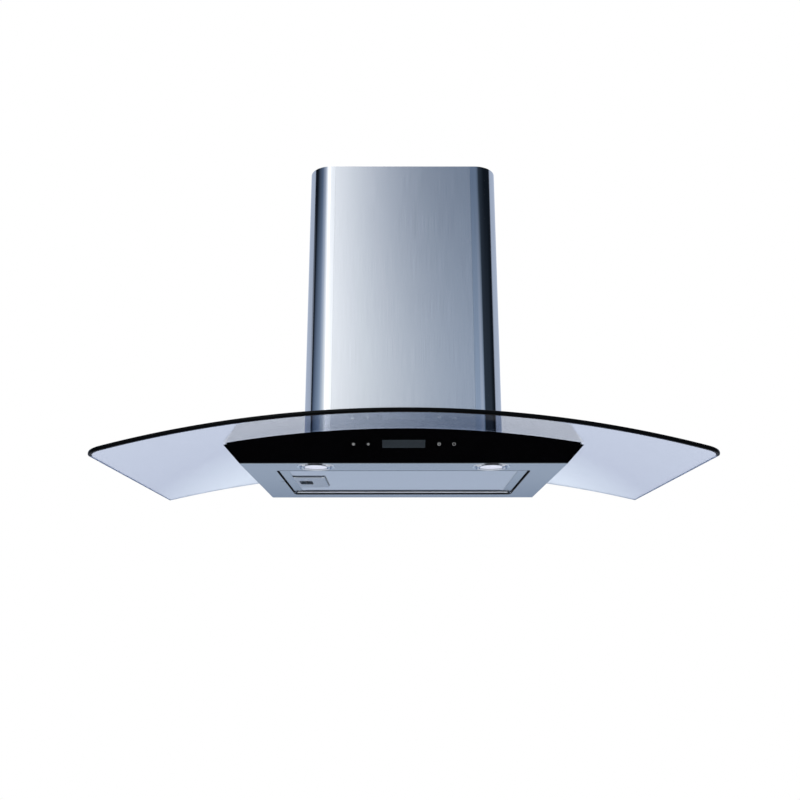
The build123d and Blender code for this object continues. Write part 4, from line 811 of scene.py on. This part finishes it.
class HOOD_OT_filter(bpy.types.Operator):
    """Build the filter's mesh and spring, the black strips of painted shade round its opening and across its mesh, and
    the pale seal of painted light, and finish the cassette
    """

    bl_idname = "hood.filter"
    bl_label = "Grease filter"

    def execute(self, context):
        sizes = context.scene.hood_sizes
        drawn = expanded_aluminium()
        # The inner sheet is drawn twice as coarse as the outer one
        for name, node, coarse in (("mesh_below", "filter_outer_mesh", 1), ("mesh_above", "filter_inner_mesh", 2)):
            low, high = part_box(node)
            mesh = self.draw_sheet(low, high, coarse * sizes.mesh_pitch, coarse * sizes.mesh_rise, sizes.strand)
            make_piece(name, mesh, "filter", drawn, [node], sharp=30.0)
        # The black strips round the opening and across the mesh are painted shade
        rubber = gap_shade_black()
        trim = self.gap_shade_trim(sizes.filter_gap, sizes.trim)
        make_piece("opening_gap_shade", trim, "hood", rubber)
        # The seal's near-white tint is painted light on the opening's rear wall
        make_piece("opening_seal", self.rear_seal(sizes.filter_gap), "hood", painted_light_silicone())
        make_piece("window_shade_bead", self.window_shade_bead(sizes.trim), "filter", rubber)
        low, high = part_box("latch_spring")
        bow = self.bow_spring(low, high, sizes.spring_strip)
        spring = make_piece("catch_spring", bow, "filter", spring_strip(), ["latch_spring"])
        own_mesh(spring)
        dress(packed_mesh(), "filter_core")
        dress(plated_abs(), "latch_housing")
        return {"FINISHED"}

    def bow_spring(self, low, high, strip):
        """A bowed strip with its ends on the bolt and its crown on the housing."""
        shape = bmesh.new()
        steps = 24
        reach = high.x - low.x
        half = (high.y - low.y) / 2
        outline = []
        for inset, turns in ((0.0, range(steps + 1)), (strip, range(steps, -1, -1))):
            for step in turns:
                turn = pi * (step / steps - 0.5)
                outline.append(((reach - inset) * cos(turn), (half - inset) * sin(turn)))
        centre = (low.x, (low.y + high.y) / 2, 0)
        prism(shape, outline, centre, Matrix.Identity(3), low.z, high.z)
        return shape

    def draw_sheet(self, low, high, pitch, rise, strand):
        """Zigzag strands side by side, each tilted a little, as a slit sheet has when it is drawn open."""
        shape = bmesh.new()
        columns = int((high.x - low.x) / (pitch / 2))
        rows = int((high.y - low.y - strand) / (rise / 2)) - 1
        first_x = (low.x + high.x - columns * pitch / 2) / 2
        first_y = (low.y + high.y - (rows + 1) * rise / 2) / 2
        middle = (low.z + high.z) / 2
        skin = 0.12 * MM
        tilt = skin - (high.z - low.z) / 2
        catch_end = HOUSING_HIGH.x + strand
        catch_half = (HOUSING_HIGH.y - HOUSING_LOW.y) / 2 + strand
        catch_middle = (HOUSING_HIGH.y + HOUSING_LOW.y) / 2
        for row in range(rows + 1):
            before = None
            for i in range(columns + 1):
                x = first_x + i * pitch / 2
                y = first_y + (row + (i + row) % 2) * rise / 2
                if x < catch_end and abs(y - catch_middle) < catch_half:
                    before = None
                    continue
                loop = []
                for across, up in ((-1, -1), (1, -1), (1, 1), (-1, 1)):
                    level = middle + across * tilt + up * skin
                    loop.append(shape.verts.new((x, y + across * strand / 2, level)))
                if before:
                    for k in range(4):
                        after = (k + 1) % 4
                        shape.faces.new((before[k], before[after], loop[after], loop[k]))
                before = loop
        return shape

    def gap_shade_trim(self, gap, lip):
        """A thin black profile hooked over the filter opening's edge, fullest at the rear and the right: painted shade
        for the dark gap round the filter.
        """
        shape = bmesh.new()
        middle = (FRAME_LOW + FRAME_HIGH) / 2
        half_x = FRAME_HIGH.x - middle.x + gap
        half_y = FRAME_HIGH.y - middle.y + gap
        corner = 6 * MM
        steps = 8
        # The profile's points as lips away from the edge and lips up
        profile = ((2, 0), (2, -1), (-0.4, -1), (-0.4, 0.45), (0, 0.45), (0, 0))
        # Corners from the front right round to the rear right, with how full the profile begins and ends there
        corners = ((1, -1, 0.8, 0.3), (-1, -1, 0.3, 0.3), (-1, 1, 0.3, 3.6), (1, 1, 3.6, 0.8))
        loops = []
        for number, (side_x, side_y, first, last) in enumerate(corners):
            for step in range(steps + 1):
                turn = -pi / 2 * (number + step / steps)
                size = lip * (first + (last - first) * step / steps)
                out = Vector((cos(turn), sin(turn), 0))
                centre = middle + Vector((side_x * (half_x - corner), side_y * (half_y - corner), 0))
                loop = []
                for away, level in profile:
                    place = centre + (corner + away * size) * out
                    loop.append(shape.verts.new((place.x, place.y, level * size)))
                loops.append(loop)
        for k, loop in enumerate(loops):
            for i in range(len(profile)):
                shape.faces.new((loops[k - 1][i - 1], loops[k - 1][i], loop[i], loop[i - 1]))
        return shape

    def rear_seal(self, gap):
        """A thin pale strip on the opening's rear wall, which the filter's rear edge faces; its pale tint is painted
        light in the gap's shade.
        """
        shape = bmesh.new()
        inset = 4 * MM
        thickness = 0.5 * MM
        bottom = 0.5 * MM
        top = 3 * MM
        wall = FRAME_HIGH.y + gap
        block(shape, (FRAME_LOW.x + inset, wall - thickness, bottom), (FRAME_HIGH.x - inset, wall, top))
        return shape

    def window_shade_bead(self, lip):
        """A notched black bead across the mesh, before the rear edge of the filter's window: its black is painted
        shade under the frame's rear lip.
        """
        shape = bmesh.new()
        border = 21 * MM
        pitch = 3.7 * MM
        half_tooth = 0.7 * MM
        rear = FRAME_HIGH.y - border
        foot = FRAME_LOW.z - 0.2 * lip
        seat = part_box("filter_outer_mesh")[0].z
        count = int((FRAME_HIGH.x - FRAME_LOW.x - 2 * border) / pitch)
        for k in range(count):
            x = (k - (count - 1) / 2) * pitch
            block(shape, (x - half_tooth, rear - 2 * lip, foot), (x + half_tooth, rear + lip, seat))
        return shape


class HOOD_OT_works(bpy.types.Operator):
    """Finish the blower, the outlet, the electrics and the sheet metal inside"""

    bl_idname = "hood.works"
    bl_label = "Blower and electrics"

    def execute(self, context):
        colours = context.scene.hood_colours
        grey = moulded_plastic("moulded_grey_polypropylene", colours.plastic, 0.5, 0.5 * MM)
        black = moulded_plastic("moulded_black_abs", linear("#161718"), 0.5, 0.4 * MM)
        fibre = moulded_plastic("glass_filled_polyamide", linear("#2B2C2E"), 0.6, 0.8 * MM)
        plated = ground_steel()
        dress(
            galvanised_sheet(), "top_plate", "motor_box", "box_top", "collar_ring", "glass_clamps",
            "chimney_brackets", "motor_bracket",
        )
        dress(silicone_rubber(), "glass_gasket", "chimney_gasket")
        dress(grey, "scroll_left", "scroll_right", "damper_collar", "flap_seat")
        dress(grey, "damper_flap_front", "damper_flap_rear")
        dress(black, "control_carrier", "display_module", "filter_latch")
        dress(black, "terminal_box", "terminal_lid", "cable_gland")
        dress(fibre, "impeller")
        dress(plated, "filter_pins", "motor_shaft", "damper_pins")
        dress(dip_painted_steel(), "motor")
        low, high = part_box("capacitor")
        top = Vector(((low.x + high.x) / 2, (low.y + high.y) / 2, high.z))
        shape = bmesh.new()
        lid = [(radius * MM, height * MM) for radius, height in LID_PROFILE]
        lathe(shape, lid, top, axes_along((0, 0, 1), (1, 0, 0)), steps=40)
        # Two push-on tabs stand on the lid, 0.8 mm thick and 6.3 mm wide
        apart = 5 * MM
        half_tab = Vector((0.4 * MM, 3.15 * MM, 0))
        foot = Vector((0, 0, 1.6 * MM))
        tip = Vector((0, 0, 9 * MM))
        for side in (-1, 1):
            middle = top + Vector((side * apart, 0, 0))
            block(shape, middle - half_tab + foot, middle + half_tab + tip)
        make_piece("capacitor_tabs", shape, "hood", plated)
        return {"FINISHED"}


class HOOD_OT_screws(bpy.types.Operator):
    """Set the cross-recessed screws on the sheet metal, the collar and the terminal lid"""

    bl_idname = "hood.screws"
    bl_label = "Screws"

    def execute(self, context):
        radius = 4 * MM
        height = 2.4 * MM
        shape = bmesh.new()
        for centre, out in self.places():
            pan_head(shape, centre, out, radius, height)
        make_piece("screws", shape, "hood", ground_steel())
        return {"FINISHED"}

    def places(self):
        """Centres and directions of the screw heads."""
        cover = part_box("outer_chimney")[1].x
        ring_low, ring_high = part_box("collar_ring")
        lid_low, lid_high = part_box("terminal_lid")
        bracket_y = -26 * MM
        bracket_z = 98.7 * MM
        clamp = 1.5 * MM
        clamp_x = 35 * MM
        clamp_rows = (-155 * MM, -85 * MM)
        clamp_z = 68.7 * MM
        lid_inset = 6 * MM
        ring_radius = 83.5 * MM
        places = []
        for side in (-1, 1):
            places.append(((side * cover, bracket_y, bracket_z), (side, 0, 0)))
            for y in clamp_rows:
                places.append(((side * (BOX_HIGH.x + clamp), y, clamp_z), (side, 0, 0)))
            places.append(((side * clamp_x, BOX_LOW.y - clamp, clamp_z), (0, -1, 0)))
            x = lid_low.x + lid_inset if side < 0 else lid_high.x - lid_inset
            y = lid_low.y + lid_inset if side < 0 else lid_high.y - lid_inset
            places.append(((x, y, lid_high.z), (0, 0, 1)))
        middle = Vector(((ring_low.x + ring_high.x) / 2, (ring_low.y + ring_high.y) / 2, ring_high.z))
        for k in range(4):
            turn = pi / 4 + k * pi / 2
            places.append((middle + ring_radius * Vector((cos(turn), sin(turn), 0)), (0, 0, 1)))
        return places


class HOOD_OT_stage(bpy.types.Operator):
    """Set the floor, the surround, the lamps and the camera"""

    bl_idname = "hood.stage"
    bl_label = "Stage"

    def execute(self, context):
        scene = context.scene
        scene.view_settings.view_transform = "Standard"
        world = bpy.data.worlds.new("studio")
        scene.world = world
        world.use_nodes = True
        tree = world.node_tree
        sockets = tree.nodes["Background"].inputs
        sockets["Color"].default_value = linear("#FFFFFF")
        # The light that the background gives is weaker than the white that it shows
        level = {"To Min": 0.55, "To Max": 1.0}
        add(tree, "ShaderNodeMapRange", level, {"Value": self.shown(tree)}, sockets["Strength"])
        self.make_floor(scene)
        self.make_surround(scene)
        self.make_lamps(scene)
        self.make_camera(scene)
        return {"FINISHED"}

    def shown(self, tree):
        """One for rays that show the background, to the eye or in metal and glass, and nought for its light."""
        rays = add(tree, "ShaderNodeLightPath").outputs
        eye = {0: rays["Is Camera Ray"], 1: rays["Is Glossy Ray"]}
        mirrored = add(tree, "ShaderNodeMath", links=eye, operation="MAXIMUM")
        through = {0: mirrored, 1: rays["Is Transmission Ray"]}
        return add(tree, "ShaderNodeMath", links=through, operation="MAXIMUM")

    def stage_sheet(self, scene, name, points, faces):
        """A stage object with an empty material."""
        mesh = bpy.data.meshes.new(name)
        mesh.from_pydata(points, [], faces)
        sheet = bpy.data.objects.new(name, mesh)
        scene.collection.objects.link(sheet)
        material = bpy.data.materials.new(name)
        material.use_nodes = True
        material.node_tree.nodes.clear()
        mesh.materials.append(material)
        return sheet, material.node_tree

    def make_floor(self, scene):
        """Pale paper that keeps the hood's shadow and fades to the white of the background."""
        reach = 20.0
        level = -1.35
        corners = [(x * reach, y * reach, level) for x, y in ((-1, -1), (1, -1), (1, 1), (-1, 1))]
        tree = self.stage_sheet(scene, "floor_paper", corners, [(0, 1, 2, 3)])[1]
        place = add(tree, "ShaderNodeTexCoord").outputs["Object"]
        away = add(tree, "ShaderNodeVectorMath", {1: (0, 0, -level)}, {0: place}, operation="ADD")
        far = add(tree, "ShaderNodeVectorMath", links={0: away}, operation="LENGTH")
        # From 1.4 m to 2.7 m out, the paper's own share goes from 0.4 to nought
        limits = {"From Min": 1.4, "From Max": 2.7, "To Min": 0.6, "To Max": 1.0}
        fade = add(tree, "ShaderNodeMapRange", limits, {"Value": far.outputs["Value"]})
        share = add(tree, "ShaderNodeMath", links={0: self.shown(tree), 1: fade}, operation="MULTIPLY")
        paper = add(tree, "ShaderNodeBsdfDiffuse", {"Color": linear("#F6F6F6")})
        glow = add(tree, "ShaderNodeEmission", {"Color": linear("#FFFFFF"), "Strength": 1.0})
        both = add(tree, "ShaderNodeMixShader", links={0: share, 1: paper, 2: glow})
        add(tree, "ShaderNodeOutputMaterial", links={"Surface": both})

    def make_surround(self, scene):
        """A drum of soft panels round the hood that only polished surfaces see, and a black card below it."""
        steps = 96
        radius = 3.2
        bottom = -1.3
        top = 4.2
        points = []
        faces = []
        for k in range(steps):
            turn = 2 * pi * k / steps
            points += [(radius * cos(turn), radius * sin(turn), level) for level in (bottom, top)]
            after = (k + 1) % steps
            faces.append((2 * k, 2 * after, 2 * after + 1, 2 * k + 1))
        drum, tree = self.stage_sheet(scene, "surround", points, faces)
        place = add(tree, "ShaderNodeTexCoord").outputs["Object"]
        around = add(tree, "ShaderNodeTexGradient", links={"Vector": place}, gradient_type="RADIAL")
        angle = around.outputs["Fac"]
        heights = add(tree, "ShaderNodeSeparateXYZ", links={"Vector": place}).outputs["Z"]
        mixed = None
        below = bottom
        for height, shades in PANELS:
            # The gradient begins on the left, 90 degrees before the front
            stops = [((azimuth + 90) / 360, tinted(linear(code), gain)) for azimuth, (code, gain) in shades]
            ramp = add(tree, "ShaderNodeValToRGB", links={"Fac": angle}, stops=stops)
            if mixed:
                limits = {"From Min": below, "From Max": height}
                rise = add(tree, "ShaderNodeMapRange", limits, {"Value": heights})
                ramp = add(tree, "ShaderNodeMixRGB", links={"Fac": rise, "Color1": mixed, "Color2": ramp})
            mixed = ramp
            below = height
        glow = add(tree, "ShaderNodeEmission", {"Strength": 1.0}, {"Color": mixed})
        add(tree, "ShaderNodeOutputMaterial", links={"Surface": glow})
        half = 1.6
        near = -2.4
        far = -0.35
        level = -1.0
        corners = [(-half, near, level), (half, near, level), (half, far, level), (-half, far, level)]
        card, tree = self.stage_sheet(scene, "black_card", corners, [(0, 1, 2, 3)])
        velvet = add(tree, "ShaderNodeEmission", {"Color": linear("#010101"), "Strength": 1.0})
        add(tree, "ShaderNodeOutputMaterial", links={"Surface": velvet})
        for panel in (drum, card):
            panel.visible_camera = False
            panel.visible_diffuse = False
            panel.visible_transmission = False
            panel.visible_shadow = False

    def make_lamps(self, scene):
        """Soft square lamps round the hood, which neither the eye nor a mirror sees."""
        # Name, place and side in metres, and power in watts
        lamps = (
            ("key_lamp", (-1.8, -2.2, 2.2), 2.0, 60.0),
            ("fill_lamp", (2.2, -1.8, 0.9), 2.2, 30.0),
            ("back_lamp", (0.4, 2.4, 1.8), 2.0, 34.0),
            ("low_lamp", (0.0, -1.4, -0.9), 1.6, 10.0),
        )
        aim = Vector((0, -0.2, 0.2))
        for name, place, size, power in lamps:
            light = bpy.data.lights.new(name, "AREA")
            light.energy = power
            light.size = size
            lamp = bpy.data.objects.new(name, light)
            lamp.location = place
            lamp.rotation_euler = (aim - Vector(place)).to_track_quat("-Z", "Y").to_euler()
            lamp.visible_camera = False
            lamp.visible_glossy = False
            scene.collection.objects.link(lamp)

    def make_camera(self, scene):
        """The photograph's view: from before the hood and below it, looking up a little."""
        place = (-0.0081, -1.6378, -0.2388)
        yaw = Matrix.Rotation(-0.002, 4, "Z")
        pitch = Matrix.Rotation(pi / 2 + 0.259, 4, "X")
        roll = Matrix.Rotation(-0.001, 4, "Z")
        view = bpy.data.cameras.new("photo_view")
        view.sensor_width = 36.0
        view.lens = 38.22
        view.clip_end = 100.0
        camera = bpy.data.objects.new("photo_view", view)
        camera.matrix_world = Matrix.Translation(place) @ yaw @ pitch @ roll
        scene.collection.objects.link(camera)
        scene.camera = camera


class HOOD_PT_pieces(bpy.types.Panel):
    """Lists the hood's sizes, colours and pieces"""

    bl_idname = "HOOD_PT_pieces"
    bl_label = "Chimney hood"
    bl_space_type = "VIEW_3D"
    bl_region_type = "UI"
    bl_category = "Hood"

    def draw(self, context):
        for group in (context.scene.hood_sizes, context.scene.hood_colours):
            box = self.layout.box()
            for name in group.__annotations__:
                box.prop(group, name)
        for operator in OPERATORS:
            self.layout.operator(operator.bl_idname)


OPERATORS = (
    HOOD_OT_canopy,
    HOOD_OT_steelwork,
    HOOD_OT_controls,
    HOOD_OT_lamps,
    HOOD_OT_filter,
    HOOD_OT_works,
    HOOD_OT_screws,
    HOOD_OT_stage,
)
CLASSES = (HoodSizes, HoodColours, *OPERATORS, HOOD_PT_pieces)


def register():
    for cls in CLASSES:
        bpy.utils.register_class(cls)
    bpy.types.Scene.hood_sizes = PointerProperty(type=HoodSizes)
    bpy.types.Scene.hood_colours = PointerProperty(type=HoodColours)


def unregister():
    del bpy.types.Scene.hood_colours
    del bpy.types.Scene.hood_sizes
    for cls in reversed(CLASSES):
        bpy.utils.unregister_class(cls)


def main():
    register()
    bpy.ops.hood.canopy()
    bpy.ops.hood.steelwork()
    bpy.ops.hood.controls()
    bpy.ops.hood.lamps()
    bpy.ops.hood.filter()
    bpy.ops.hood.works()
    bpy.ops.hood.screws()
    bpy.ops.hood.stage()


if __name__ == "__main__":
    main()
